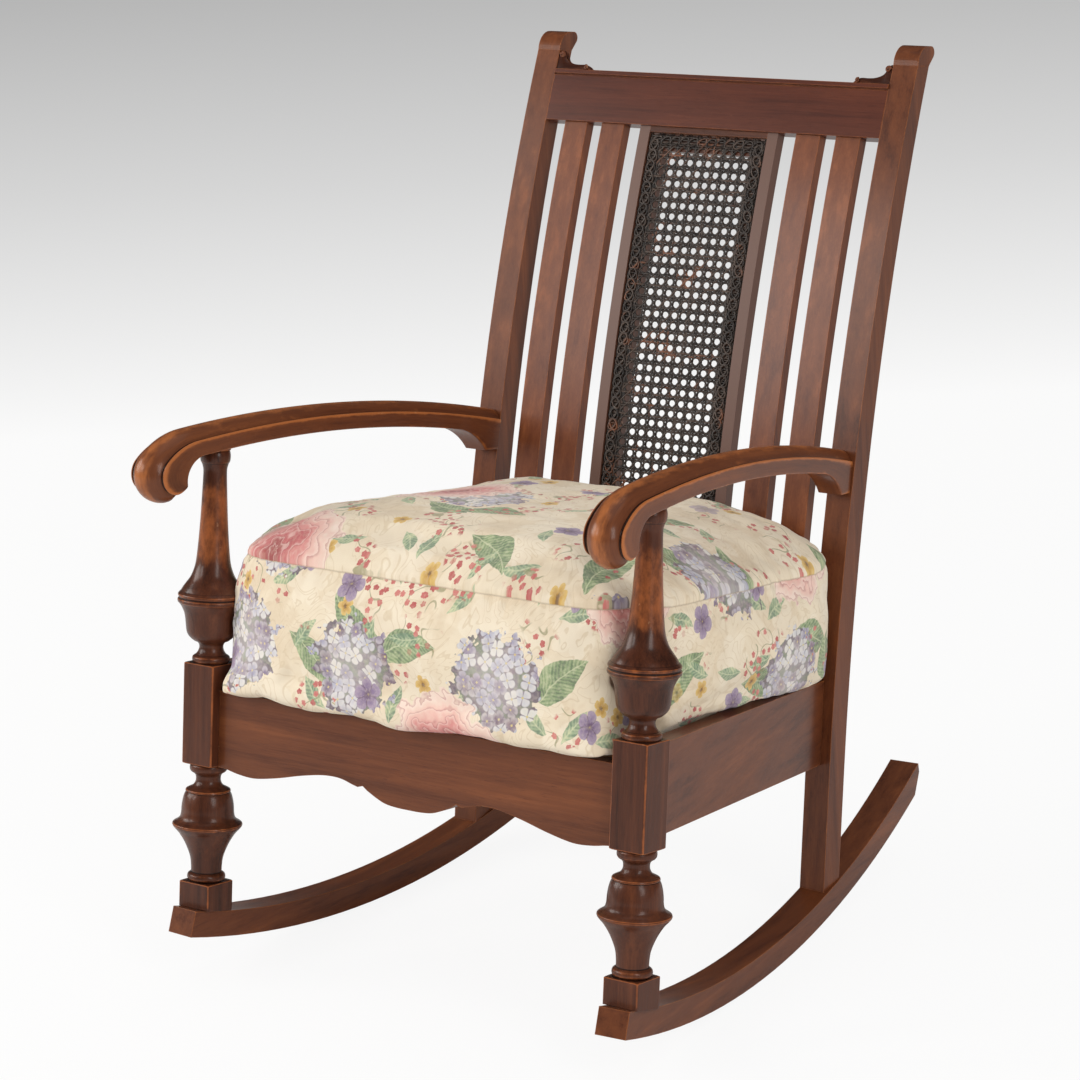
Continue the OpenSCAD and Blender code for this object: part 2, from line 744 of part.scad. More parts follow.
// Woven cane on the ledge: a sheet bent with the back, open between its groups of strands
module cane_panel() {
  half = panel_w / 2 - border_w - glue;
  z0 = low_rail_top + glue;
  z1 = crest_z - strip_h - glue;
  r0 = slat_front_r - ledge_depth + glue;
  across_step = (2 * half - strand_w) / cane_columns;
  up_step = (z1 - z0 - strand_w) / cane_rows;
  color(cane)
  stand()
  difference() {
    bent(z0, z1)
    bent_section(r0, r0 + cane_t, -half, half);
    translate([0, seat_d + post_sq * 3, 0])
    rotate([90, 0, 0])
    linear_extrude(post_sq * 3)
    for (i = [0:cane_columns - 1], k = [0:cane_rows - 1])
      translate([i * across_step + strand_w - half, z0 + k * up_step + strand_w])
      square([across_step - strand_w, up_step - strand_w]);
  }
}

// Arm: rings of the moulded section, joined from the scrolled front to the rear post
module arm(s) {
  m = 2 * len(arm_section_shares) - 1;
  n = len(arm_rings);
  points = [for (r = arm_rings, p = r) p];
  sides = [for (i = [0:n - 2], k = [0:m - 1]) let (a = i * m + k, b = i * m + (k + 1) % m)
    each [[a, b, a + m], [b, b + m, a + m]]];
  ends = [[for (k = [0:m - 1]) m - 1 - k], [for (k = [0:m - 1]) (n - 1) * m + k]];
  color(wood)
  stand()
  side(s)
  polyhedron(points = points, faces = concat(sides, ends));
}

// Cleats on the side rails, and the slats that they carry
module seat_cleat(s) {
  y0 = post_sq + deck_gap;
  y1 = seat_d - deck_gap;
  color(raw_wood)
  stand()
  side(s)
  translate([0, 0, deck_top - deck_t - cleat])
  linear_extrude(cleat)
  polygon([
    [rail_x(y0) - rail_across, y0],
    [rail_x(y1) - rail_across, y1],
    [rail_x(y1) - rail_across - cleat, y1],
    [rail_x(y0) - rail_across - cleat, y0]
  ]);
}

module seat_slats() {
  y0 = post_sq + 2 * deck_gap;
  y1 = seat_d - 2 * deck_gap;
  step = (y1 - y0 - deck_w) / (deck_n - 1);
  color(raw_wood)
  stand()
  for (i = [0:deck_n - 1]) {
    y = y0 + i * step;
    x = rail_x(y + deck_w) - rail_across - deck_gap;
    translate([-x, y, deck_top - deck_t])
    cube([2 * x, deck_w, deck_t]);
  }
}

// Corner blocks, set in the corners between the rails and round the posts
module corner_block(i) {
  front = i < 3;
  s = i % 2 == 1 ? -1 : 1;
  y = apron_recess + rail_t;
  yr = rear_rail_y;
  xr = rail_x(seat_d) - rail_across;
  outline = front ? [
    [post_in - corner_l, y],
    [post_in, y],
    [post_in, post_sq],
    [rail_x(post_sq) - rail_across, post_sq],
    [rail_x(post_sq + corner_l) - rail_across, post_sq + corner_l]
  ] : [
    [xr - corner_l, yr],
    [xr, yr],
    [xr, seat_d],
    [rail_x(seat_d - corner_l) - rail_across, seat_d - corner_l]
  ];
  color(raw_wood)
  stand()
  side(s)
  translate([0, 0, deck_top - deck_t - cleat - corner_h])
  linear_extrude(corner_h)
  polygon(outline);
}

// Dowels: each place is [middle, rotation], for the right side of the chair
dowel_shares = [0.22, 0.66];
rear_dowel_shares = [0.4, 0.84];
function side_dowel_places() = [for (q = dowel_shares) let (z = rail_z + q * rail_h)
  each [
    [[rail_x(post_sq) - rail_across / 2, post_sq, z], [90, 0, 0]],
    [[rail_x(seat_d) - rail_across / 2, seat_d, z], [90, 0, 0]]
  ]];
function apron_dowel_places() = [for (q = dowel_shares)
  [[post_in, apron_recess + rail_t / 2, block_z + q * (apron_top - block_z)], [0, 90, 0]]];
function rear_dowel_places() = [for (q = rear_dowel_shares)
  [[rear_in, rear_rail_y + rail_t / 2, rail_z + q * rail_h], [0, 90, 0]]];
function back_dowel_places() = [for (z = [low_rail_z + low_rail_h / 2, crest_z + crest_h / 2])
  [[rear_in, post_front(z) + crest_t / 2, z], [0, 90, 0]]];
function runner_x(y) = chair_w / 2 - runner_inset - y * runner_slope - runner_w / 2;
function runner_top(y) = runner_cz - sqrt(runner_top_r * runner_top_r - pow(y - runner_cy, 2));
function runner_dowel_places() = [for (y = [post_y, seat_d + rear_post_d / 2])
  [[runner_x(y), y, runner_top(y)], [0, 0, 0]]];

module dowel_bores(places) {
  for (p = places)
    translate(p[0])
    rotate(p[1])
    cylinder(h = dowel_l + dowel_r, r = dowel_r + dowel_fit, center = true, $fn = turn_fn);
}

module dowels(places) {
  color(raw_wood)
  stand()
  for (s = [-1, 1], p = places)
    side(s)
    translate(p[0])
    rotate(p[1])
    cylinder(h = dowel_l, r = dowel_r, center = true, $fn = turn_fn);
}

// Cushion: rings from the bottom to the crown. It fits between the rails below, spreads over
// them above, is drawn in at its seam and narrows between the front posts.
nose_blend = 44;
nose_hw = post_in - nose_gap;
front_hw = chair_w / 2 - side_gap;
rear_hw = rear_out + rear_spread;
rail_step = rail_top - cushion_z + soft_gap;
top_h = cushion_h - seam_h;
ring_n = 76;
function ease(t) = let (u = max(0, min(1, t))) u * u * (3 - 2 * u);
function side_x(y, inside) = inside ? rail_x(y) - rail_across - soft_gap
  : front_hw + (rear_hw - front_hw) * (y - post_sq) / rail_run;
function cushion_x(y, inside) = nose_hw + (side_x(max(y, post_sq + nose_blend), inside) - nose_hw)
  * ease((y - post_sq) / nose_blend);
function power(v, n) = sign(v) * pow(abs(v), 2 / n);
rise_share = 0.75;
function seam_lift(y) = seam_rise * ease(y / (seat_d * rise_share));
// Rings below the seam: [height, share of seam_in drawn in, squareness, inside the rails]
lower_rings = [
  [0, 2, 9, true],
  [rail_step * 0.4, 0.2, 11, true],
  [rail_step, 0, 11, true],
  [rail_step + soft_gap, 1.6, 11, false],
  [seam_h * 0.24, 0.2, 11, false],
  [seam_h * 0.5, -0.35, 11, false],
  [seam_h * 0.8, -0.05, 11, false],
  [seam_h * 0.95, 0.4, 11, false]
];
// Rings from the seam up, as shares: [height, drawn in, squareness, plan, lift]
upper_ring_shares = [
  [0, 0.7, 11, 1, 1],
  [0.05, 0.7, 11, 1, 1],
  [0.16, 0.8, 11, 1, 1],
  [0.4, 2.6, 9, 1, 0.9],
  [0.6, 0, 7, 0.9, 0.62],
  [0.77, 0, 4.5, 0.74, 0.36],
  [0.91, 0, 3.5, 0.5, 0.16],
  [0.98, 0, 3, 0.24, 0.04]
];
cushion_rings = concat(
  [for (q = lower_rings) [q[0], q[1], q[2], q[3], 1, 0]],
  [for (q = upper_ring_shares) [seam_h + top_h * q[0], q[1], q[2], false, q[3], q[4]]]
);
function cushion_ring(q) = [for (i = [0:ring_n - 1]) let (
  t = 360 * i / ring_n,
  back = post_front(cushion_z + q[0]) - soft_gap - max(0, q[1]) * seam_in,
  front = q[1] * seam_in - cushion_front,
  hd = (back - front) / 2,
  cy = (back + front) / 2,
  full = cy + power(sin(t), q[2]) * hd,
  y = cy + crown_shift * (1 - q[4]) + power(sin(t), q[2]) * q[4] * hd,
  x = power(cos(t), q[2]) * (cushion_x(full, q[3]) - q[1] * seam_in) * q[4]
) [x, y, cushion_z + q[0] + seam_lift(y) * q[5]]];

module cushion() {
  n = len(cushion_rings);
  rings = [for (q = cushion_rings) each cushion_ring(q)];
  points = concat(rings, [
    [0, seat_d / 2, cushion_z],
    [0, seat_d / 2 + crown_shift, cushion_z + cushion_h]
  ]);
  sides = [for (i = [0:n - 2], k = [0:ring_n - 1]) let (
    a = i * ring_n + k,
    b = i * ring_n + (k + 1) % ring_n
  ) each [[a, a + ring_n, b], [b, a + ring_n, b + ring_n]]];
  last = (n - 1) * ring_n;
  caps = [for (k = [0:ring_n - 1]) each [
    [n * ring_n, k, (k + 1) % ring_n],
    [n * ring_n + 1, last + (k + 1) % ring_n, last + k]
  ]];
  color(fabric)
  stand()
  polyhedron(points = points, faces = concat(sides, caps));
}

runner(-1);  // runner_left
runner(1);  // runner_right
front_post(-1);  // front_post_left
front_post(1);  // front_post_right
rear_post(-1);  // rear_post_left
rear_post(1);  // rear_post_right
arm(-1);  // arm_left
arm(1);  // arm_right
front_apron();
side_rail(-1);  // side_rail_left
side_rail(1);  // side_rail_right
rear_seat_rail();
lower_back_rail();
crest_rail();
crest_scroll(-1);  // crest_scroll_left
crest_scroll(1);  // crest_scroll_right
back_slat(1);  // back_slat_1
back_slat(2);  // back_slat_2
back_slat(3);  // back_slat_3
back_slat(4);  // back_slat_4
cane_stile(-1);  // cane_stile_left
cane_stile(1);  // cane_stile_right
cane_top_rail();
cane_bottom_rail();
cane_panel();
seat_cleat(-1);  // seat_cleat_left
seat_cleat(1);  // seat_cleat_right
seat_slats();
corner_block(1);  // corner_block_1
corner_block(2);  // corner_block_2
corner_block(3);  // corner_block_3
corner_block(4);  // corner_block_4
dowels(concat(side_dowel_places(), apron_dowel_places(), rear_dowel_places()));  // rail_dowels
dowels(back_dowel_places());  // back_dowels
dowels(runner_dowel_places());  // runner_dowels
cushion();
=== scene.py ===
"""A wooden rocking chair: turned posts, moulded arms, woven cane, a flowered cushion and a studio.

Each Operator makes one group of pieces from the settings of its PropertyGroup. The Panel runs them
one by one, and main() runs them in order. Settings are in metres. The builders work in millimetres
of the chair's own upright frame: x across, y back from the front posts' faces, z up from the feet.
"""
import json
import math

import bmesh
import bpy
import numpy as np
from mathutils import Matrix, Vector, noise


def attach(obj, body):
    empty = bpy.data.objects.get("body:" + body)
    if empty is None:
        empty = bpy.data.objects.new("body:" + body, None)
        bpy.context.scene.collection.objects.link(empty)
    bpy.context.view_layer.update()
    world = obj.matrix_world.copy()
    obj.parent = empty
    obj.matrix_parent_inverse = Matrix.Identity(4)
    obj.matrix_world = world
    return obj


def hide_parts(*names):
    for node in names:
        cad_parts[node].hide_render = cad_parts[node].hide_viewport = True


bl_info = {
    "name": "Rocking Chair",
    "version": (1, 0, 0),
    "blender": (4, 5, 0),
    "location": "View3D > Sidebar > Chair",
    "description": "Dresses a rocking chair's frame with wood, cane, a cushion and a studio",
    "category": "Object",
}

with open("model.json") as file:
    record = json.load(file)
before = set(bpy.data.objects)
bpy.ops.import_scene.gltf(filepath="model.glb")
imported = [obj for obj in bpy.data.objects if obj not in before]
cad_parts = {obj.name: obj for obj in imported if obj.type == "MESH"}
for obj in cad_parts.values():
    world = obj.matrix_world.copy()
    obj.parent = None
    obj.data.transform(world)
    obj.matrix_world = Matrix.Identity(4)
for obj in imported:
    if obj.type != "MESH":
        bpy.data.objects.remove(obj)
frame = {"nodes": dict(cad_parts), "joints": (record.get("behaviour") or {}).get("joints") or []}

# Measures of the CAD that several pieces share.
APRON_FACE, APRON_TOP, SEAT_D, CREST_TOP = 13.0, 254.5, 462.0, 961.5
BEND_Y, BEND_Z, BEND_R = 3192.0, 180.0, 2730.0
POST_X, POST_Y, REAR_IN, REAR_OUT = 296.0, 22.0, 235.6, 268.0
SIDES = (("left", -1), ("right", 1))


# ---------------------------------------------------------------- the chair's own frame

def chair_frame():
    """Cosine and sine of the lean, and the chair's own frame's place in the row frame."""
    axis = frame["joints"][0]["axis"]
    c, s = axis[2], -axis[1]
    co = coordinates(frame["nodes"]["front_apron"].data)
    a = APRON_FACE / 1000 - (co[:, 1] * c - co[:, 2] * s).min()
    b = (co[:, 1] * s + co[:, 2] * c).max() - APRON_TOP / 1000
    return c, s, a * c - b * s, a * s + b * c


def coordinates(mesh):
    return np.array([v.co for v in mesh.vertices], float).reshape(-1, 3)


COS, SIN, ORIGIN_Y, REST_Z = chair_frame()


def to_row(points):
    """Points of the chair's frame, in millimetres, in the row frame, in metres."""
    p = np.asarray(points, float).reshape(-1, 3) / 1000
    return np.stack([p[:, 0], p[:, 1] * COS + p[:, 2] * SIN - ORIGIN_Y,
                     -p[:, 1] * SIN + p[:, 2] * COS + REST_Z], 1)


def to_chair(points):
    """Points of the row frame, in metres, in the chair's frame, in millimetres."""
    p = np.asarray(points, float).reshape(-1, 3)
    y, z = p[:, 1] + ORIGIN_Y, p[:, 2] - REST_Z
    return 1000 * np.stack([p[:, 0], y * COS - z * SIN, y * SIN + z * COS], 1)


def bent(x, out, z):
    """Points at height z on the bent back, out in front of the posts' front faces."""
    x, out, z = (np.asarray(v, float) for v in (x, out, z))
    turn = np.arcsin((z - BEND_Z) / BEND_R)
    y, z = BEND_Y - (BEND_R + out) * np.cos(turn), BEND_Z + (BEND_R + out) * np.sin(turn)
    return np.stack(np.broadcast_arrays(x, y, z), -1)


def bend_face(z):
    """How far back the posts' bent front faces are at height z."""
    return BEND_Y - np.sqrt(BEND_R ** 2 - (z - BEND_Z) ** 2)


def ease(t):
    t = np.clip(t, 0, 1)
    return t * t * (3 - 2 * t)


def smooth_run(points, n):
    """Smooth curve through the points, with n steps between neighbours."""
    p = np.asarray(points, float)
    out = []
    for i in range(len(p) - 1):
        a, b, c, d = p[max(i - 1, 0)], p[i], p[i + 1], p[min(i + 2, len(p) - 1)]
        for t in np.arange(n) / n:
            cubic = 1.5 * b - 1.5 * c + (d - a) / 2
            out.append(b + t * ((c - a) / 2 + t * (a - 2.5 * b + 2 * c - d / 2 + t * cubic)))
    out.append(p[-1])
    return np.array(out)


def toward(degrees):
    """Unit vector at this angle in the chair's side view."""
    turn = math.radians(degrees)
    return np.array([math.cos(turn), math.sin(turn)])


def arc(c, r, a, b, n):
    return np.array([c + r * toward(t) for t in np.linspace(a, b, n + 1)])


# ---------------------------------------------------------------- meshes

def add_vectors(mesh, name, values):
    layer = mesh.attributes.new(name, "FLOAT_VECTOR", "POINT")
    layer.data.foreach_set("vector", np.asarray(values, np.float32).ravel())


def add_values(mesh, name, values):
    layer = mesh.attributes.new(name, "FLOAT", "POINT")
    layer.data.foreach_set("value", np.asarray(values, np.float32).ravel())


def place_vertices(mesh, points):
    for v, p in zip(mesh.vertices, points):
        v.co = p


def new_object(name, data):
    obj = bpy.data.objects.new(name, data)
    bpy.context.scene.collection.objects.link(obj)
    return obj


def evaluated(obj):
    """A new mesh: what the object's modifiers make of it."""
    bpy.context.view_layer.update()
    graph = bpy.context.evaluated_depsgraph_get()
    return bpy.data.meshes.new_from_object(obj.evaluated_get(graph))


def apply_modifiers(obj):
    """The object's mesh replaced by what its modifiers make of it; the new mesh."""
    old, obj.data = obj.data, evaluated(obj)
    obj.modifiers.clear()
    bpy.data.meshes.remove(old)
    return obj.data


def mark_edges(mesh, reach=0.0022):
    """Attribute "edge": above 0 on outward edges and below 0 in recesses, for wear and painted
    shade in the recesses.
    """
    bm = bmesh.new()
    bm.from_mesh(mesh)
    values = np.zeros(len(bm.verts))
    for i, v in enumerate(bm.verts):
        area = sum(f.calc_area() for f in v.link_faces) / 3
        bend = sum(e.calc_face_angle_signed(0.0) * e.calc_length() for e in v.link_edges
                   if len(e.link_faces) == 2)
        values[i] = bend / (4 * max(area, 1e-9))
    bm.free()
    add_values(mesh, "edge", np.clip(values * reach, -1, 1))


def make_piece(name, points, faces, material, grain, angle, edge=None):
    """A closed wooden piece: doubles merged, faces outwards, shaded smooth up to the angle."""
    mesh = bpy.data.meshes.new(name)
    mesh.from_pydata([tuple(p) for p in points], [], faces)
    add_vectors(mesh, "grain", grain)
    if edge is not None:
        add_values(mesh, "edge", edge)
    bm = bmesh.new()
    bm.from_mesh(mesh)
    bmesh.ops.remove_doubles(bm, verts=bm.verts, dist=1e-6)
    bmesh.ops.dissolve_degenerate(bm, dist=1e-7, edges=bm.edges)
    bmesh.ops.recalc_face_normals(bm, faces=bm.faces)
    bm.to_mesh(mesh)
    bm.free()
    if edge is None:
        mark_edges(mesh)
    mesh.shade_smooth()
    mesh.set_sharp_from_angle(angle=math.radians(angle))
    mesh.materials.append(bpy.data.materials[material])
    obj = new_object(name, mesh)
    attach(obj, "frame")
    return obj


def ring_faces(rings, around):
    """Faces of a tube of rings, each of the same count of points, with its ends closed."""
    faces = [(i * around + k, i * around + (k + 1) % around,
              (i + 1) * around + (k + 1) % around, (i + 1) * around + k)
             for i in range(rings - 1) for k in range(around)]
    last = (rings - 1) * around
    return faces + [tuple(range(around))[::-1], tuple(range(last, last + around))]


# ---------------------------------------------------------------- node trees

HALF, BLACK = (0.5, 0.5, 0.5), (0.0, 0.0, 0.0, 1.0)
TURN = 6.28


class Value:
    """A node's output, with the arithmetic that adds the next node."""

    def __init__(self, tree, socket):
        self.tree, self.socket = tree, socket

    def __abs__(self):
        return self.tree.math("ABSOLUTE", self)


for sign, op in (("add", "ADD"), ("sub", "SUBTRACT"), ("mul", "MULTIPLY"), ("truediv", "DIVIDE"),
                 ("pow", "POWER")):
    setattr(Value, f"__{sign}__", lambda a, b, op=op: a.tree.math(op, a, b))
    setattr(Value, f"__r{sign}__", lambda a, b, op=op: a.tree.math(op, b, a))


class Tree:
    """Short calls for building a node tree."""

    def __init__(self, tree):
        self.tree, self.nodes, self.links = tree, tree.nodes, tree.links

    def put(self, socket, value):
        if isinstance(value, Value):
            self.links.new(value.socket, socket)
        elif value is not None:
            socket.default_value = value

    def add(self, kind, inputs=None, out=None, **props):
        """A new node, or its output of this name or number."""
        node = self.nodes.new(kind)
        for key, value in props.items():
            setattr(node, key, value)
        for key, value in (inputs or {}).items():
            self.put(node.inputs[key], value)
        return node if out is None else Value(self, node.outputs[out])

    def outputs(self, node):
        return [Value(self, socket) for socket in node.outputs]

    def math(self, op, *values, clamp=False):
        return self.add("ShaderNodeMath", dict(enumerate(values)), 0, operation=op, use_clamp=clamp)

    def vec(self, op, *values, out="Vector"):
        return self.add("ShaderNodeVectorMath", dict(enumerate(values)), out, operation=op)

    def mix(self, share, a, b):
        return self.add("ShaderNodeMix", {0: share, 6: a, 7: b}, 2, data_type="RGBA",
                        clamp_factor=True)

    def ramp(self, value, stops, interpolation="EASE"):
        """Colours, given as 8-bit display colours, by the value."""
        node = self.add("ShaderNodeValToRGB", {"Fac": value})
        band = node.color_ramp
        band.interpolation = interpolation
        while len(band.elements) < len(stops):
            band.elements.new(0.5)
        for item, (place, colour) in zip(band.elements, stops):
            item.position = place
            item.color = rgb(*colour)
        return Value(self, node.outputs["Color"])

    def step(self, value, low, high, to_low=0.0, to_high=1.0):
        """Smooth step of value from low to high."""
        return self.add("ShaderNodeMapRange", {"Value": value, "From Min": low, "From Max": high,
                                               "To Min": to_low, "To Max": to_high}, "Result",
                        interpolation_type="SMOOTHSTEP", clamp=True)

    def noise(self, vector, size, detail=3.0, rough=0.5, distortion=0.0, out=0):
        """Noise of the vector, times size where that is given."""
        if size is not None:
            vector = self.vec("MULTIPLY", vector, size)
        return self.add("ShaderNodeTexNoise", {
            "Vector": vector, "Scale": 1.0, "Detail": detail, "Roughness": rough,
            "Distortion": distortion}, out)

    def xyz(self, vector):
        return self.outputs(self.add("ShaderNodeSeparateXYZ", {"Vector": vector}))

    def join(self, x, y, z):
        return self.add("ShaderNodeCombineXYZ", {"X": x, "Y": y, "Z": z}, 0)

    def attribute(self, name, out="Fac"):
        return self.add("ShaderNodeAttribute", out=out, attribute_name=name)

    def object_place(self):
        return self.add("ShaderNodeTexCoord", out="Object")

    def surface(self, bsdf, colour, rough, height, strength, distance, normal=None, values={}):
        """The shader's colour, roughness, bump and other values."""
        bump = self.add("ShaderNodeBump", {"Strength": strength, "Distance": distance,
                                           "Normal": normal, "Height": height}, "Normal")
        for key, value in {"Base Color": colour, "Roughness": rough, "Normal": bump,
                           **values}.items():
            self.put(bsdf.inputs[key], value)


def rgb(*colour):
    """Linear colour of an 8-bit display colour."""
    shares = [v / 255 for v in colour]
    return (*[v / 12.92 if v <= 0.04045 else ((v + 0.055) / 1.055) ** 2.4 for v in shares], 1.0)


def group(name, kind, inputs, outputs):
    """A new node group: (Tree, its inputs by label, its output node's sockets)."""
    tree = bpy.data.node_groups.new(name, kind)
    for socket_kind, label, value in inputs:
        socket = tree.interface.new_socket(label, in_out="INPUT",
                                           socket_type="NodeSocket" + socket_kind)
        if value is not None:
            socket.default_value = value
    for socket_kind, label in outputs:
        tree.interface.new_socket(label, in_out="OUTPUT", socket_type="NodeSocket" + socket_kind)
    t = Tree(tree)
    start = t.add("NodeGroupInput")
    return t, {v.socket.name: v for v in t.outputs(start)}, t.add("NodeGroupOutput").inputs


def shader(name):
    """A new material: (material, Tree, its shader)."""
    material = bpy.data.materials.new(name)
    material.use_nodes = True
    t = Tree(material.node_tree)
    return material, t, next(n for n in t.nodes if n.type == "BSDF_PRINCIPLED")


# ---------------------------------------------------------------- woods

SHADES = ("Dark", "Middle", "Light", "Worn")
MAHOGANY = ((74, 38, 24), (102, 56, 33), (130, 74, 42), (188, 112, 60))
CARVED = ((42, 20, 14), (66, 33, 21), (92, 48, 30), (118, 66, 40))
TURNED = ((48, 24, 16), (78, 41, 26), (108, 60, 36), (168, 94, 48))
WOODS = (  # material, axis or attribute of its grain, shades, chips
    ("mahogany_y", "y", MAHOGANY, 0.2),
    ("mahogany_z", "z", MAHOGANY, 0.2),
    ("mahogany_grain", "grain", MAHOGANY, 0.2),
    ("apron_wood", "x", MAHOGANY, 1.0),
    ("slat_wood", "z", ((86, 44, 28), (112, 61, 36), (142, 82, 48), MAHOGANY[3]), 0.2),
    ("crest_wood", "x", ((64, 28, 19), (84, 39, 25), (106, 54, 34), MAHOGANY[3]), 0.2),
    ("carved_wood", "grain", CARVED, 0.2),
    ("post_wood", "grain", TURNED, 0.2),
    ("dark_wood", "z", ((36, 19, 13), (76, 40, 26), (112, 64, 40), (156, 96, 56)), 0.2),
    ("dark_wood_x", "x", ((36, 19, 13), (72, 38, 25), (108, 60, 38), (156, 96, 56)), 0.2),
)
FINISH = {  # start of a node's name: its material
    "runner": "mahogany_y", "rear_post": "mahogany_z",
    "side_rail": "mahogany_y", "front_apron": "apron_wood", "rear_seat_rail": "dark_wood_x",
    "lower_back_rail": "dark_wood_x", "crest_rail": "crest_wood", "back_slat": "slat_wood",
    "cane_stile": "dark_wood", "cane_top": "dark_wood_x", "cane_bottom": "dark_wood_x",
    "seat_": "raw_wood", "corner_block": "raw_wood", "rail_dowels": "raw_wood",
    "back_dowels": "raw_wood",
}


def wood_group():
    """Aged varnished wood: figure, pores, worn edges, painted shade in its recesses and small
    chips.
    """
    t, i, o = group("aged_wood", "ShaderNodeTree", [
        ("Vector", "Grain", None), ("Float", "Edge", 0.0),
        *[("Color", label, rgb(*shade)) for label, shade in zip(SHADES, MAHOGANY)],
        ("Float", "Wear", 0.7), ("Float", "Chips", 0.2), ("Float", "Gloss", 0.5)],
        [("Color", "Base Color"), ("Float", "Roughness"), ("Float", "Bump Height")])
    g, edge = i["Grain"], i["Edge"]
    warp = t.vec("SUBTRACT", t.noise(g, (5.0, 14.0, 14.0), 2.0, out=1), HALF)
    v = t.vec("ADD", g, t.vec("MULTIPLY", warp, (0.0, 0.01, 0.01)))
    figure = t.noise(v, (2.6, 75.0, 75.0), 7.0, 0.62)
    tone = t.noise(g, (4.5, 11.0, 11.0), 3.0, 0.55)
    fine = t.noise(v, (26.0, 620.0, 620.0), 3.0, 0.6)
    pore = t.step(t.noise(v, (75.0, 1500.0, 1500.0), 1.0), 0.6, 0.72)
    blend = figure * 0.62 + tone * 0.38
    colour = t.mix(t.step(blend, 0.34, 0.52), i["Dark"], i["Middle"])
    colour = t.mix(t.step(blend, 0.5, 0.7), colour, i["Light"])
    colour = t.mix(t.step(fine, 0.35, 0.8, 0.0, 0.3), colour, i["Light"])
    colour = t.mix(pore * 0.45, colour, i["Dark"])
    worn = edge + (t.noise(g, (45.0, 90.0, 90.0), 4.0, 0.65) - 0.5) * 0.9
    colour = t.mix(t.step(worn, 0.16, 0.62) * i["Wear"], colour, i["Worn"])
    # Painted shade: the colour darkened towards black in recesses, where the edge attribute is
    # below 0; the roughness rises there too.
    recess_shade = t.step(edge, -0.02, -0.3) * 0.85
    colour = t.mix(recess_shade, colour, t.mix(0.75, i["Dark"], BLACK))
    nick = t.noise(g, (130.0, 210.0, 210.0), 2.0) + edge * 0.22
    chip = t.step(nick, 0.8, 0.86) * i["Chips"]
    t.put(o["Base Color"], t.mix(chip, colour, rgb(206, 160, 118)))
    rough = 0.72 - i["Gloss"] * 0.56 + (tone - 0.5) * 0.3
    t.put(o["Roughness"], t.math("ADD", rough, recess_shade * 0.3, clamp=True))
    height = fine * 0.5 - pore * 0.5 + t.noise(g, (30.0, 55.0, 55.0), 2.0) * 1.2
    t.put(o["Bump Height"], height - chip * 1.5)


def wood_material(name, along, shades, chips, s):
    """Wood whose grain runs along an axis of the object, or along its attribute "grain"."""
    _, t, bsdf = shader(name)
    if along == "grain":
        grain = t.attribute("grain", "Vector")
    else:
        x, y, z = t.xyz(t.object_place())
        grain = t.join(*{"x": (x, y, z), "y": (y, x, z), "z": (z, x, y)}[along])
    wide, narrow = (t.add("ShaderNodeBevel", {"Radius": radius}, 0, samples=6)
                    for radius in (0.0028, 0.0016))
    normal = t.add("ShaderNodeNewGeometry", out="Normal")
    facing = t.vec("DOT_PRODUCT", wide, normal, out="Value")
    sharp = t.math("MULTIPLY", 1.0 - facing, 0.0 if along == "grain" else 1.7, clamp=True)
    node = t.add("ShaderNodeGroup", node_tree=bpy.data.node_groups["aged_wood"])
    values = {"Edge": t.attribute("edge") + sharp, "Grain": grain, "Wear": s.wear, "Gloss": s.gloss,
              "Chips": chips, **{label: rgb(*shade) for label, shade in zip(SHADES, shades)}}
    for key, value in values.items():
        t.put(node.inputs[key], value)
    colour, rough, height = t.outputs(node)
    t.surface(bsdf, colour, rough, height, 0.35, 0.0004, narrow,
              {"Coat Weight": s.coat, "Coat Roughness": 0.2, "Specular IOR Level": 0.13})


def raw_wood_material():
    """Plain sawn wood of the seat's hidden frame."""
    _, t, bsdf = shader("raw_wood")
    v = t.join(*t.xyz(t.object_place()))
    band = t.noise(v, (5.0, 60.0, 60.0), 6.0, 0.6, 0.4)
    fine = t.noise(v, (60.0, 700.0, 700.0))
    colour = t.ramp(band, ((0.3, (128, 90, 56)), (0.5, (164, 122, 80)), (0.72, (188, 150, 106))))
    colour = t.mix(t.step(fine, 0.4, 0.8, 0.0, 0.35), colour, rgb(110, 74, 46))
    t.surface(bsdf, colour, t.step(band, 0.2, 0.8, 0.62, 0.8), fine, 0.4, 0.0004)


# ---------------------------------------------------------------- settings

def length(name, description, value):
    return bpy.props.FloatProperty(name=name, description=description, default=value,
                                   subtype="DISTANCE", unit="LENGTH", precision=4)


def number(name, description, value):
    return bpy.props.FloatProperty(name=name, description=description, default=value)


def count(name, description, value):
    return bpy.props.IntProperty(name=name, description=description, default=value, min=1)


class ChairWoodSettings(bpy.types.PropertyGroup):
    """Finish of the wood and fineness of the turned and moulded pieces."""

    wear: number("Wear", "How much the edges are rubbed through to orange wood", 0.75)
    gloss: number("Gloss", "Polish of the varnish, 0 to 1", 0.6)
    coat: number("Coat", "Weight of the varnish coat", 0.34)
    foot_chamfer: length("Corner", "Radius of the square blocks' upright corners", 0.0018)
    scroll_length: length("Scroll length", "Length of the carved scrolls along the crest", 0.050)
    scroll_height: length("Scroll height", "Height of the carved scrolls at the posts", 0.0235)


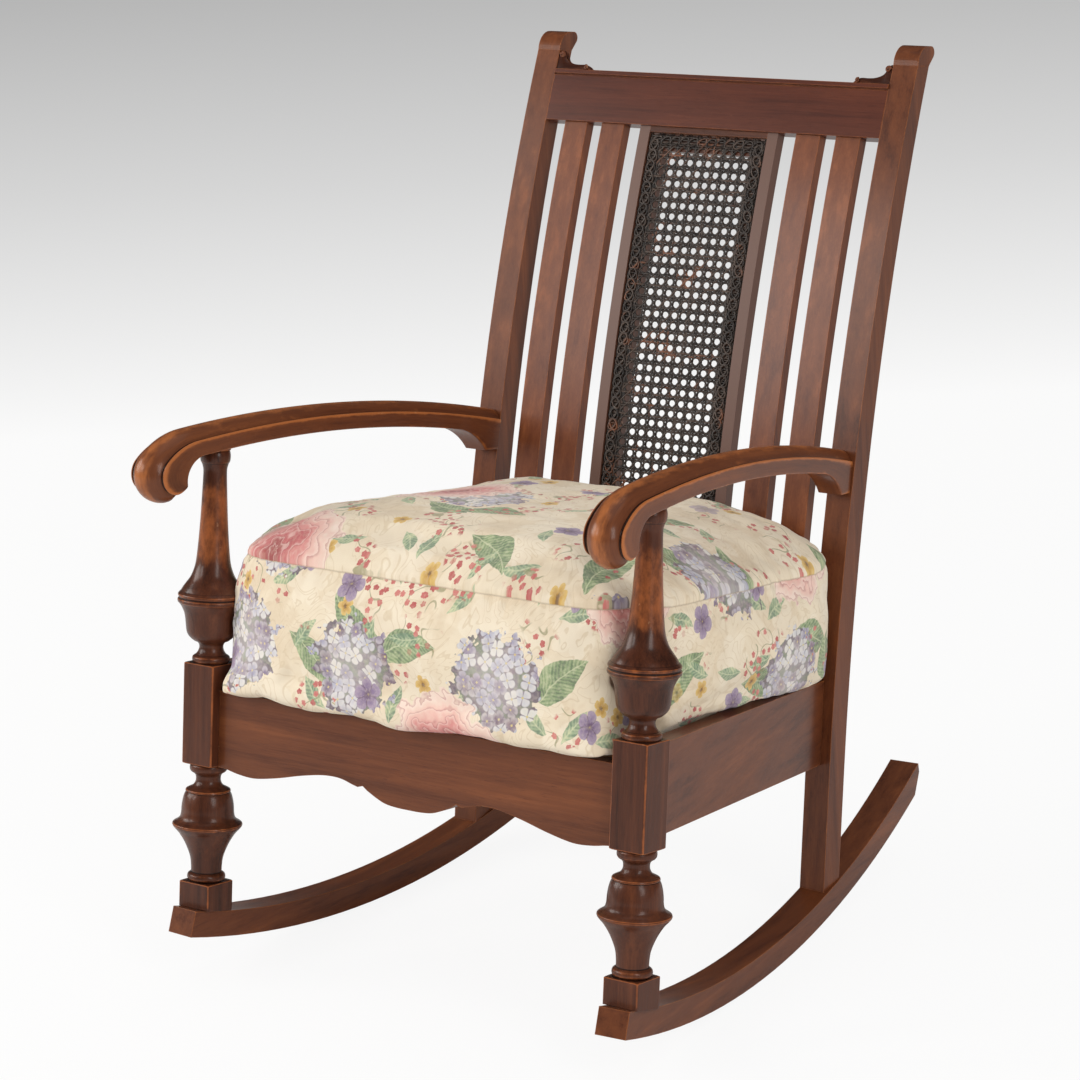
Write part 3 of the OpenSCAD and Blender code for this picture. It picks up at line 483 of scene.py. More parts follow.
class ChairCaneSettings(bpy.types.PropertyGroup):
    """Six-way cane: pitch and sizes of its strands, and the bound border."""

    pitch_x: length("Pitch across", "Distance between the openings across", 0.01287)
    pitch_z: length("Pitch up", "Distance between the openings up the panel", 0.01287)
    strand: length("Strand", "Width of the upright and level strands", 0.0027)
    slant: length("Slanting strand", "Width of the slanting strands", 0.0023)
    pair: length("Pair", "Distance between the two strands of a pair", 0.0029)
    thick: length("Thickness", "Thickness of a strand", 0.0008)
    wave: length("Wave", "How far the strands rise and fall as they cross", 0.0005)
    half_width: length("Half width", "Half the width of the caned field", 0.0826)
    low: length("Low end", "Height of the field's lower end", 0.3858)
    high: length("High end", "Height of the field's upper end", 0.8924)
    border: length("Border", "Width of the bound border", 0.0235)


class ChairCushionSettings(bpy.types.PropertyGroup):
    """Padding of the loose cushion and its print."""

    voxel: length("Voxel", "Size of the remeshed cloth", 0.006)
    pressure: number("Pressure", "Filling pressure of the cloth", 4.0)
    steps: count("Steps", "Steps of the cloth's settling", 12)
    reach: length("Reach", "Most that the cloth moves from its cut shape", 0.007)
    seam_depth: length("Seam depth", "Depth of the seam's crease", 0.0016)
    fill_out: length("Fill out", "How far the front corners press out to the posts", 0.013)
    droop: length("Droop", "How far the lower front edge hangs over the apron", 0.007)
    print_scale: number("Print scale", "Size of the printed flowers", 1.0)


class ChairStageSettings(bpy.types.PropertyGroup):
    """Camera and studio."""

    key: number("Key", "Power of the large light at the left", 95.0)
    fill: number("Fill", "Power of the light at the right", 52.0)
    sheen: number("Sheen", "Power of the light that the slats mirror", 30.0)
    top: number("Top", "Power of the light above", 11.0)
    lens: number("Lens", "Focal length of the camera on a 36 mm sensor", 116.0)
    ambient: number("Ambient", "Strength of the room's even light", 0.55)


# ---------------------------------------------------------------- turned posts

# Each turning's runs, from the bottom up: shares of its height and of its widest radius.
LOWER_TURNING = [
    [[0, 0.44], [0.02, 0.53], [0.04, 0.545], [0.06, 0.525], [0.075, 0.46]],
    [[0.08, 0.437], [0.13, 0.442], [0.2, 0.47], [0.27, 0.55], [0.34, 0.66], [0.41, 0.81],
     [0.45, 0.93], [0.47, 0.985]],
    [[0.482, 1], [0.492, 0.99], [0.5, 0.955], [0.515, 0.87], [0.54, 0.79], [0.58, 0.755],
     [0.63, 0.745], [0.68, 0.722], [0.73, 0.68], [0.76, 0.63]],
    [[0.768, 0.645], [0.78, 0.63], [0.79, 0.57], [0.81, 0.44], [0.84, 0.37], [0.87, 0.352],
     [0.9, 0.37], [0.92, 0.43]],
    [[0.93, 0.49], [0.945, 0.525], [0.965, 0.535], [0.985, 0.525], [1, 0.49]],
]
UPPER_TURNING = [
    [[0, 0.49], [0.008, 0.535], [0.017, 0.545], [0.027, 0.53], [0.034, 0.475]],
    [[0.036, 0.45], [0.05, 0.385], [0.068, 0.347], [0.085, 0.36], [0.098, 0.43]],
    [[0.102, 0.51], [0.115, 0.61], [0.13, 0.685], [0.148, 0.725], [0.18, 0.75], [0.21, 0.772],
     [0.236, 0.81], [0.263, 0.89], [0.279, 0.965]],
    [[0.283, 0.992], [0.29, 1], [0.297, 0.992], [0.302, 0.96]],
    [[0.306, 0.96], [0.312, 0.985], [0.32, 0.985], [0.328, 0.945]],
    [[0.333, 0.91], [0.35, 0.85], [0.37, 0.76], [0.395, 0.65], [0.424, 0.57], [0.46, 0.507],
     [0.51, 0.468], [0.58, 0.43], [0.68, 0.39], [0.78, 0.362], [0.87, 0.34], [0.9, 0.345],
     [0.922, 0.38]],
    [[0.926, 0.39], [0.935, 0.422], [0.955, 0.437], [0.975, 0.425], [0.987, 0.395]],
]
COLLAR_SHARE, COLLAR_RADIUS = 0.987, 0.437
FOOT_H, BLOCK_Z, BLOCK_TOP, POST_SQ = 28.0, 166.0, 283.5, 44.0
LOWER_RIM, UPPER_RIM, SHOULDER = 40.3, 39.6, 4.0
RUNNER_CY, RUNNER_CZ, RUNNER_TOP_R = 165.0, 994.53, 1010.0

ARM_R, ARM_T, ARM_PEAK, ARM_Z = 1700.0, 17.5, 173.0, 557.5
ARM_C = np.array([POST_Y + ARM_PEAK, ARM_Z - ARM_R])
UNDER_R = ARM_R - ARM_T


def arm_over(y):
    return ARM_C[1] + np.sqrt(ARM_R ** 2 - (y - ARM_C[0]) ** 2)


def arm_under(y):
    return ARM_C[1] + np.sqrt(UNDER_R ** 2 - (y - ARM_C[0]) ** 2)


NECK_H = arm_under(POST_Y) - BLOCK_TOP


def square_radius(turn, corner):
    """Radius of the rounded square block in the direction turn."""
    a = POST_SQ / 2
    t = np.abs((turn + math.pi / 4) % (math.pi / 2) - math.pi / 4)
    c, s = np.cos(t), np.sin(t)
    flat = a / c
    b = a - corner
    rounded = b * (c + s) + np.sqrt(np.maximum(corner ** 2 - b * b * (c - s) ** 2, 0))
    return np.where(flat * s <= b, flat, rounded)


def turned_post(sx, corner):
    """Points, faces and grain of a front post."""
    near = np.radians([-6, -4.2, -2.6, -1.2, 0, 1.2, 2.6, 4.2, 6])
    turns = np.concatenate([np.linspace(0, 2 * math.pi, 88, endpoint=False),
                            *[math.radians(45 + 90 * k) + near for k in range(4)]])
    turns = np.unique(np.round(turns, 6))
    square = square_radius(turns, corner)
    rings = []

    def ring(r, z):
        r, z = np.broadcast_to(r, turns.shape), np.broadcast_to(z, turns.shape)
        rings.append(np.stack([POST_X + r * np.cos(turns), POST_Y + r * np.sin(turns), z], 1))

    def block_end(z, up):
        """Turned-off corners at a block's end, inwards from its face or the other way."""
        steps = [(t, POST_SQ / 2 * math.sqrt(2) - SHOULDER * (1 - math.sqrt(1 - t * t)))
                 for t in (0.0, 0.4, 0.7, 0.9, 1.0)]
        for t, r in (steps if up else steps[::-1]):
            inset = 0.7 * max(0.0, t - 0.7) / 0.3
            ring(np.minimum(square, r) - inset, z + (t - 1) * (2.2 if up else -2.2))

    def turning(runs, z, h, r):
        for run in runs:
            for share, radius in smooth_run(run, 5):
                ring(radius * r, z + share * h)

    y = POST_Y + square * np.sin(turns)
    ring(square, RUNNER_CZ - np.sqrt(RUNNER_TOP_R ** 2 - (y - RUNNER_CY) ** 2) + 0.1)
    ring(square, 3.0)
    block_end(FOOT_H, True)
    turning(LOWER_TURNING, FOOT_H, BLOCK_Z - FOOT_H, LOWER_RIM)
    block_end(BLOCK_Z, False)
    block_end(BLOCK_TOP, True)
    turning(UPPER_TURNING, BLOCK_TOP, NECK_H, UPPER_RIM)
    collar = COLLAR_RADIUS * UPPER_RIM
    ring(collar, BLOCK_TOP + NECK_H * COLLAR_SHARE)
    ring(collar, arm_under(POST_Y + collar * np.sin(turns)) - 0.1)
    points = np.concatenate(rings)
    x, y, z = points.T
    grain = np.stack([z, x * sx + 400 * sx, y], 1) / 1000
    points[:, 0] *= sx
    return points, ring_faces(len(rings), len(turns)), grain


def rub_neck(mesh):
    """The long necks worn lighter by hands than the rest of the posts."""
    share = (to_chair(coordinates(mesh))[:, 2] - BLOCK_TOP) / NECK_H
    edge = np.zeros(len(share), np.float32)
    layer = mesh.attributes["edge"].data
    layer.foreach_get("value", edge)
    edge += (0.36 * ease((share - 0.4) / 0.12) * ease((0.93 - share) / 0.2)).astype(np.float32)
    layer.foreach_set("value", edge)


# ---------------------------------------------------------------- arms

SHOULDER_R, SHOULDER_D, KNUCKLE_R, THROAT_R, THROAT_D = 80.0, 39.6, 20.0, 31.0, 36.0
COVE_R, COVE_D, COVE_DROP, CROWN = 76.0, 64.0, 48.0, 12.5
SCROLL_END, SCROLL_TURN = 318, 135
ARM_FRONT_W, ARM_REAR_W = 50.0, 32.4
ARM_SECTION = [  # share of the half width, of the side's depth, of the crown, and the wear there, below 0 painted shade
    [[0.0, 0, 0, 0.0], [0.5, 0, 0, 0.0], [0.86, 0, 0, 0.05], [0.95, 0.015, 0, 0.3],
     [0.99, 0.06, 0, 0.35], [1, 0.13, 0, 0.12], [1, 0.4, 0, 0.0], [1, 0.75, 0, 0.05],
     [1.0, 0.9, 0, 0.3]],
    [[1.0, 0.9, 0, 0.3], [0.992, 0.965, 0.02, 0.62], [0.968, 1, 0.07, 0.75],
     [0.935, 1, 0.085, 0.5], [0.905, 1, 0.06, 0.1]],
    # Values below 0 in the last column: painted shade in the cove beside the crown.
    [[0.9, 1, 0.02, -0.3], [0.875, 1, -0.05, -0.7], [0.84, 1, -0.08, -0.85],
     [0.805, 1, -0.06, -0.7], [0.78, 1, 0.0, -0.35]],
    [[0.775, 1, 0.06, 0.1], [0.73, 1, 0.22, 0.16], [0.64, 1, 0.45, 0.1], [0.5, 1, 0.7, 0.14],
     [0.33, 1, 0.88, 0.3], [0.16, 1, 0.97, 0.42], [0, 1, 1, 0.46]],
]


def inner_arc(outer, r, y):
    """Angle and centre of the arc inside the arm's arc, touching it, with its centre at y."""
    turn = math.degrees(math.acos((y - ARM_C[0]) / (outer - r)))
    return turn, ARM_C + (outer - r) * toward(turn)


def arm_edges(n_knuckle=26, n_shoulder=10, n_long=46, n_cove=16):
    """Lower edge, upper edge, crown direction and crown share of the arm's rings."""
    shoulder_a, shoulder_c = inner_arc(ARM_R, SHOULDER_R, POST_Y - SHOULDER_D)
    knuckle_c = shoulder_c + (SHOULDER_R - KNUCKLE_R) * toward(SCROLL_TURN)
    throat_a, throat_c = inner_arc(UNDER_R, THROAT_R, POST_Y - THROAT_D)
    cove_a, cove_c = inner_arc(UNDER_R, COVE_R, SEAT_D - COVE_D)
    foot_z = arm_under(SEAT_D - COVE_D) + ARM_T - COVE_DROP
    cove_end = math.degrees(math.asin((foot_z - cove_c[1]) / COVE_R))
    lower = np.concatenate([arc(throat_c, THROAT_R, 180, throat_a, n_knuckle + n_shoulder),
                            arc(ARM_C, UNDER_R, throat_a, cove_a, n_long)[1:],
                            arc(cove_c, COVE_R, cove_a, cove_end, n_cove)[1:],
                            [[bend_face(foot_z), foot_z]]])
    upper, out, crown = [], [], []
    for c, r, a, b, n, first in (
            (knuckle_c, KNUCKLE_R, SCROLL_END, SCROLL_TURN, n_knuckle, 0),
            (shoulder_c, SHOULDER_R, SCROLL_TURN, shoulder_a, n_shoulder, 1)):
        for t in np.linspace(a, b, n + 1)[first:]:
            upper.append(c + r * toward(t))
            out.append(toward(t))
            crown.append(min(1.0, (max(SCROLL_END - t, 0) / 43) ** 1.7))
    y0 = shoulder_c[0] + SHOULDER_R * toward(shoulder_a)[0]
    y1 = cove_c[0] + COVE_R * toward(cove_a)[0]
    y2 = bend_face(arm_over(SEAT_D))
    for y in (*np.linspace(y0, y1, n_long + 1)[1:], *np.linspace(y1, y2, n_cove + 2)[1:]):
        p = np.array([y, arm_over(y)])
        upper.append(p)
        out.append((p - ARM_C) / ARM_R)
        crown.append(1.0)
    return lower, np.array(upper), np.array(out), np.array(crown)


def moulded_arm(sx):
    """Points, faces, grain, and wear with painted shade in the cove, of an arm: its section swept
    from its scroll to the post.
    """
    lower, upper, out, crown = arm_edges()
    half = np.concatenate([smooth_run(run, 3) for run in ARM_SECTION])
    section = np.concatenate([half, half[-2:0:-1] * (-1, 1, 1, 1)])
    across, deep, high, wear_and_shade = section.T
    steps = np.linalg.norm(np.diff(upper, axis=0), axis=1)
    along = np.concatenate([[0], np.cumsum(steps)])
    points, grain = [], []
    for k in range(len(lower)):
        y, z = (lower[k] + (upper[k] - lower[k]) * deep[:, None]
                + out[k] * CROWN * crown[k] * high[:, None]).T
        if k == len(lower) - 1:
            y = bend_face(z) - 0.1
        back = (y - POST_Y) / (SEAT_D - POST_Y)
        mid = POST_X + ((REAR_IN + REAR_OUT) / 2 - POST_X) * back
        side = across * (ARM_FRONT_W + (ARM_REAR_W - ARM_FRONT_W) * np.maximum(0, back)) / 2
        points.append(np.stack([(mid + side) * sx, y, z], 1))
        grain.append(np.stack([np.full(len(section), along[k]), side + sx * 300,
                               deep * ARM_T + high * CROWN + 100], 1))
    return (np.concatenate(points), ring_faces(len(lower), len(section)),
            np.concatenate(grain) / 1000, np.tile(wear_and_shade, len(lower)))


# ---------------------------------------------------------------- carved scrolls

SCROLL_EDGE = [  # share of the length, share of the height
    [0, 1.0], [0.05, 1.03], [0.1, 1.0], [0.15, 0.88], [0.185, 0.7], [0.24, 0.54], [0.34, 0.42],
    [0.48, 0.34], [0.64, 0.32], [0.78, 0.33], [0.88, 0.29], [0.95, 0.18], [1.0, 0.03]]


def carved_scroll(sx, long, high):
    """Leaf scroll in the corner between the crest and the rear post, with fluted faces."""
    edge = smooth_run(SCROLL_EDGE, 6)
    across = np.linspace(-1, 1, 17)
    rings = []
    for share, rise in edge:
        x = REAR_IN - share * long
        flute = 1 - 0.16 * (0.5 - 0.5 * np.cos(3 * math.pi * across)) * min(1, share * 4)
        z = CREST_TOP + max(rise, 0.02) * high * flute * (1 - 0.2 * across ** 4)
        out = -8.0 + across * 7.0 * (1 - 0.12 * share)
        rings += [bent(x, out, z), bent(x, out[::-1], CREST_TOP - 0.05)]
    points = np.concatenate(rings)
    grain = points / 1000
    points[:, 0] *= sx
    return points, ring_faces(len(edge), 2 * len(across)), grain


def volute(sx, cx, cz, radius, turns, thick, lean):
    """Rolled end: a spiral of shrinking tube on the scroll's face."""
    n, around = 64, 10
    t = np.linspace(0, 1, n)
    turn = lean + turns * 2 * math.pi * t
    r = radius * (1 - 0.8 * t)
    centre = np.stack([cx + r * np.cos(turn), 1.2 * t - 0.6, cz + r * np.sin(turn)], 1)
    tube = thick * (1 - 0.45 * t)
    tangent = np.gradient(centre, axis=0)
    side = np.cross(tangent, [0, 1, 0])
    side /= np.linalg.norm(side, axis=1)[:, None]
    points = np.array([centre[k] + tube[k] * (math.cos(a) * side[k] + [0, math.sin(a), 0])
                       for k in range(n) for a in np.arange(around) * 2 * math.pi / around])
    points = bent(*points.T)
    points[:, 0] *= sx
    return points, ring_faces(n, around)


# ---------------------------------------------------------------- woven cane

def row_of(t, i, piece, start, step):
    """A row of the piece, made real, each with its number in the attribute "strand"."""
    line = t.add("GeometryNodeMeshLine", {"Count": i["Count"], "Start Location": start,
                                          "Offset": step}, "Mesh")
    index = t.add("GeometryNodeInputIndex", out=0)
    line = t.add("GeometryNodeStoreNamedAttribute", {"Geometry": line, "Name": "strand",
                                                     "Value": index},
                 "Geometry", data_type="FLOAT", domain="POINT")
    rows = t.add("GeometryNodeInstanceOnPoints", {"Points": line, "Instance": piece}, "Instances")
    return t.add("GeometryNodeRealizeInstances", {"Geometry": rows}, "Geometry")


def cane_group(name, floats, ints=()):
    """A new Geometry Nodes group with these number inputs beside the common ones."""
    return group(name, "GeometryNodeTree", [
        ("Geometry", "Geometry", None), ("Int", "Count", None),
        *[("Float", label, None) for label in floats], *[("Int", label, None) for label in ints],
        ("Material", "Material", None)], [("Geometry", "Geometry")])


def finish_tree(t, i, o, mesh):
    """The tree's last node and its output: the mesh with the cane's material."""
    t.put(o["Geometry"], t.add("GeometryNodeSetMaterial", {"Geometry": mesh,
                                                           "Material": i["Material"]}, "Geometry"))
    return t.tree


def strand_tree():
    """Geometry Nodes: a row of flat strands along z, side by side along x, waving in y."""
    t, i, o = cane_group("cane_strands", ("Spacing", "Shift", "Length", "Width", "Thickness",
                                          "Wave", "Wave Length", "Phase", "Base"), ("Segments",))
    one = t.add("GeometryNodeMeshCylinder", {
        "Vertices": 4, "Side Segments": i["Segments"], "Radius": 1.0, "Depth": i["Length"]},
        "Mesh", fill_type="NGON")
    one = t.add("GeometryNodeTransform", {
        "Geometry": one, "Scale": t.join(i["Width"] * 0.5, i["Thickness"] * 0.5, 1.0)}, "Geometry")
    start = t.math("MULTIPLY_ADD", (i["Count"] - 1) * -0.5, i["Spacing"], i["Shift"])
    real = row_of(t, i, one, t.join(start, 0.0, 0.0), t.join(i["Spacing"], 0.0, 0.0))
    strand = t.add("GeometryNodeInputNamedAttribute", {"Name": "strand"}, "Attribute",
                   data_type="FLOAT")
    z = t.xyz(t.add("GeometryNodeInputPosition", out=0))[2]
    turn = z / i["Wave Length"] * (2 * math.pi)
    turn = turn + t.math("MULTIPLY_ADD", strand, math.pi, i["Phase"])
    rise = t.math("MULTIPLY_ADD", t.math("COSINE", turn), i["Wave"], i["Base"])
    moved = t.add("GeometryNodeSetPosition", {"Geometry": real, "Offset": t.join(0.0, rise, 0.0)},
                  "Geometry")
    return finish_tree(t, i, o, moved)


def loop_tree():
    """Geometry Nodes: a row of slanting loops that bind the cane's border."""
    t, i, o = cane_group("cane_loops", ("Spacing", "Long", "Wide", "Thickness", "Slant"))
    ring, tube = (t.add("GeometryNodeCurvePrimitiveCircle", {"Resolution": n, "Radius": radius},
                        "Curve", mode="RADIUS") for n, radius in ((14, 1.0), (5, i["Thickness"])))
    for turn, size in (((math.pi / 2, 0.0, 0.0), None),
                       (t.join(0.0, i["Slant"], 0.0), t.join(i["Wide"], 1.0, i["Long"]))):
        ring = t.add("GeometryNodeTransform", {"Geometry": ring, "Rotation": turn, "Scale": size},
                     "Geometry")
    loop = t.add("GeometryNodeCurveToMesh", {"Curve": ring, "Profile Curve": tube}, "Mesh")
    start = (i["Count"] - 1) * -0.5 * i["Spacing"]
    real = row_of(t, i, loop, t.join(0.0, 0.0, start), t.join(0.0, 0.0, i["Spacing"]))
    return finish_tree(t, i, o, real)


def run_tree(tree, **values):
    """Points, faces and strand numbers that the tree makes with these inputs."""
    base = new_object("run", bpy.data.meshes.new("run"))
    mod = base.modifiers.new("nodes", "NODES")
    mod.node_group = tree
    for item in tree.interface.items_tree:
        key = item.name.replace(" ", "_").lower()
        if item.in_out == "INPUT" and key in values:
            mod[item.identifier] = values[key]
    mesh = evaluated(base)
    points = coordinates(mesh)
    faces = [tuple(p.vertices) for p in mesh.polygons]
    strand = np.zeros(len(points), np.float32)
    mesh.attributes["strand"].data.foreach_get("value", strand)
    bpy.data.objects.remove(base)
    bpy.data.meshes.remove(mesh)
    return points, faces, strand


def cane_material():
    """Dark stained cane with a few strands rubbed to orange, and painted glints as light grey
    specks.
    """
    material, t, bsdf = shader("dark_cane")
    pick = t.add("ShaderNodeTexWhiteNoise", {"W": t.attribute("strand")}, "Value",
                 noise_dimensions="1D")
    place = t.object_place()
    patch = t.noise(place, (30.0,) * 3)
    glint_speck = t.noise(place, (420.0,) * 3, 2.0)
    colour = t.ramp(pick, ((0.0, (30, 24, 22)), (0.6, (52, 42, 37)), (1.0, (80, 64, 55))))
    worn = t.step(patch, 0.54, 0.68) * t.step(pick, 0.35, 0.8)
    colour = t.mix(worn * 0.6, colour, rgb(150, 88, 54))
    # Painted highlights: light grey glints mixed into the colour; the same specks set the roughness
    # and bump.
    colour = t.mix(t.step(glint_speck, 0.56, 0.72, 0.0, 0.55), colour, rgb(122, 108, 98))
    t.surface(bsdf, colour, t.step(glint_speck, 0.3, 0.7, 0.34, 0.55), glint_speck, 0.5, 0.0003)
    return material


CANE_ROWS, CANE_COLUMNS, CANE_SLANTS, TOP_MARGIN = 39, 11, 56, 0.0202
SIDE_STRANDS, TOP_STRANDS = (0.0652, 0.0686, 0.0802), (0.8822, 0.8858, 0.8893)
UP_STEPS, ACROSS_STEPS, SLANT_STEPS = 148, 48, 150
CANE_OUT = -6.8


def woven_panel(s, material):
    """The caned field and its border on the bent back: points, faces and strand numbers."""
    tree, loops = strand_tree(), loop_tree()
    px, pz, span, wide = s.pitch_x, s.pitch_z, s.high - s.low, 2 * s.half_width
    first = s.high - TOP_MARGIN + pz / 2
    mid = first - pz * (CANE_ROWS - 1) / 2
    centre = (s.low + s.high) / 2
    parts, faces, strands = [], [], []

    def take(tree, place, clip, **values):
        points, found, strand = run_tree(tree, material=material, **values)
        points = place(points)
        out = ((np.abs(points[:, 0]) > s.half_width) | (points[:, 2] < s.low)
               | (points[:, 2] > s.high))
        before = sum(len(p) for p in parts)
        parts.append(points)
        strands.append(strand + 37 * len(parts))
        faces.extend(tuple(before + i for i in f) for f in found
                     if not clip or not any(out[i] for i in f))

    def weave(place, **values):
        plain = {"count": 1, "spacing": px, "shift": 0.0, "width": s.strand, "base": 0.0002}
        take(tree, place, True, thickness=s.thick, wave=s.wave, **{**plain, **values})

    def bind(place, n, spacing, long, wide, thickness, slant):
        take(loops, place, False, count=n, spacing=spacing, long=long, wide=wide,
             thickness=thickness, slant=slant)

    def moved(x, y, z):
        return lambda p: p + np.array([x, y, z])

    def level(y, z):
        return lambda p: np.stack([p[:, 2], p[:, 1] + y, p[:, 0] + z], 1)

    for k, side in enumerate((-1, 1)):
        shift = side * s.pair / 2
        weave(moved(0.0, 0, centre), count=CANE_COLUMNS, shift=shift, length=span,
              wave_length=2 * pz, phase=math.pi * (k + centre / pz), base=0.0, segments=UP_STEPS)
        weave(level(0, mid), count=CANE_ROWS, spacing=pz, shift=shift, length=wide,
              wave_length=2 * px, phase=math.pi * (k + 1), base=0.0, segments=ACROSS_STEPS)
        for x in SIDE_STRANDS:
            weave(moved(side * x, 0, centre), length=span, wave_length=1.4 * pz, phase=x * 900,
                  segments=UP_STEPS)
    for z in TOP_STRANDS:
        weave(level(0, z), length=wide, wave_length=1.4 * px, phase=z * 700, segments=ACROSS_STEPS)
    turn = math.atan2(px, pz)
    half_rows = round((mid - first) / pz) * pz + first
    for side in (-1, 1):
        c, d = math.cos(turn), side * math.sin(turn)

        def slanted(p):
            return np.stack([p[:, 0] * c + p[:, 2] * d, p[:, 1],
                             -p[:, 0] * d + p[:, 2] * c + half_rows], 1)

        weave(slanted, count=CANE_SLANTS, spacing=px * c, length=0.6, width=s.slant,
              wave_length=math.hypot(px, pz), phase=0.6 * side, base=0.0004 * side,
              segments=SLANT_STEPS)
    edge = s.half_width - s.border * 0.42
    for side in (-1, 1):
        bind(moved(side * edge, 0.0012, mid), 39, pz, 0.0074, 0.0046, 0.0010, 0.6 * side)
        bind(moved(side * (edge + 0.0016), 0.0013, mid + pz / 2), 38, pz, 0.0070, 0.0044, 0.0010,
             -0.6 * side)
    bind(level(0.0012, s.high - 0.0085), 12, px, 0.0072, 0.0040, 0.0009, 0.5)
    used = np.unique(np.concatenate([np.array(f) for f in faces]))
    flat = (np.concatenate(parts) * 1000)[used]
    faces = [tuple(f) for f in (np.searchsorted(used, f).tolist() for f in faces)]
    points = bent(flat[:, 0], flat[:, 1] + CANE_OUT, flat[:, 2])
    return points, faces, np.concatenate(strands)[used]


# ---------------------------------------------------------------- cushion

CUSHION_Z, SEAM_H, SEAM_RISE, CUSHION_LIFT = 255.7, 158.0, 42.0, 18.0
RAIL_FRONT, RAIL_REAR, RAIL_T, RAIL_TOP = 313.0, 255.0, 22.0, 280.2
ROOM, PINCH = 0.8, 0.0045


def seam_height(y):
    return CUSHION_Z + SEAM_H + SEAM_RISE * ease(y / (SEAT_D * 0.75))


def settle(obj, s):
    """Fills the cloth: it swells under its pressure, and each point stays near its cut place."""
    mesh = obj.data
    start = coordinates(mesh)
    normals = np.array([v.normal for v in mesh.vertices], float)
    place_vertices(mesh, start - normals * PINCH)
    mod = obj.modifiers.new("cloth", "CLOTH")
    c = mod.settings
    c.quality = 5
    c.mass = 0.2
    c.tension_stiffness = c.compression_stiffness = 9.0
    c.shear_stiffness = 4.0
    c.bending_stiffness = 0.4
    c.use_pressure = True
    c.uniform_pressure_force = s.pressure
    c.effector_weights.gravity = 0.0
    mod.collision_settings.use_collision = False
    mod.point_cache.frame_end = s.steps + 1
    for step in range(1, s.steps + 1):
        bpy.context.scene.frame_set(step)
    done = obj.evaluated_get(bpy.context.evaluated_depsgraph_get()).to_mesh()
    shift = coordinates(done) - start
    obj.modifiers.remove(mod)
    bpy.context.scene.frame_set(1)
    size = np.linalg.norm(shift, axis=1)
    place_vertices(mesh, start + shift * np.minimum(1, s.reach / np.maximum(size, 1e-9))[:, None])


def wrinkle(points):
    """Soft folds all over, and small gathers along the seam: millimetres along the normals."""
    def wave(p, x, y, z, dx=0, dz=0):
        return noise.noise(Vector((p[0] / x + dx, p[1] / y, p[2] / z + dz)))

    seam = points[:, 2] - seam_height(points[:, 1])
    return np.array([3.4 * wave(p, 95, 80, 70) + 1.3 * (abs(wave(p, 38, 30, 46, 7)) * 2 - 0.5)
                     + 1.7 * math.exp(-(d / 20) ** 2) * wave(p, 7.5, 7.5, 42, 0, 3)
                     for p, d in zip(points, seam)])


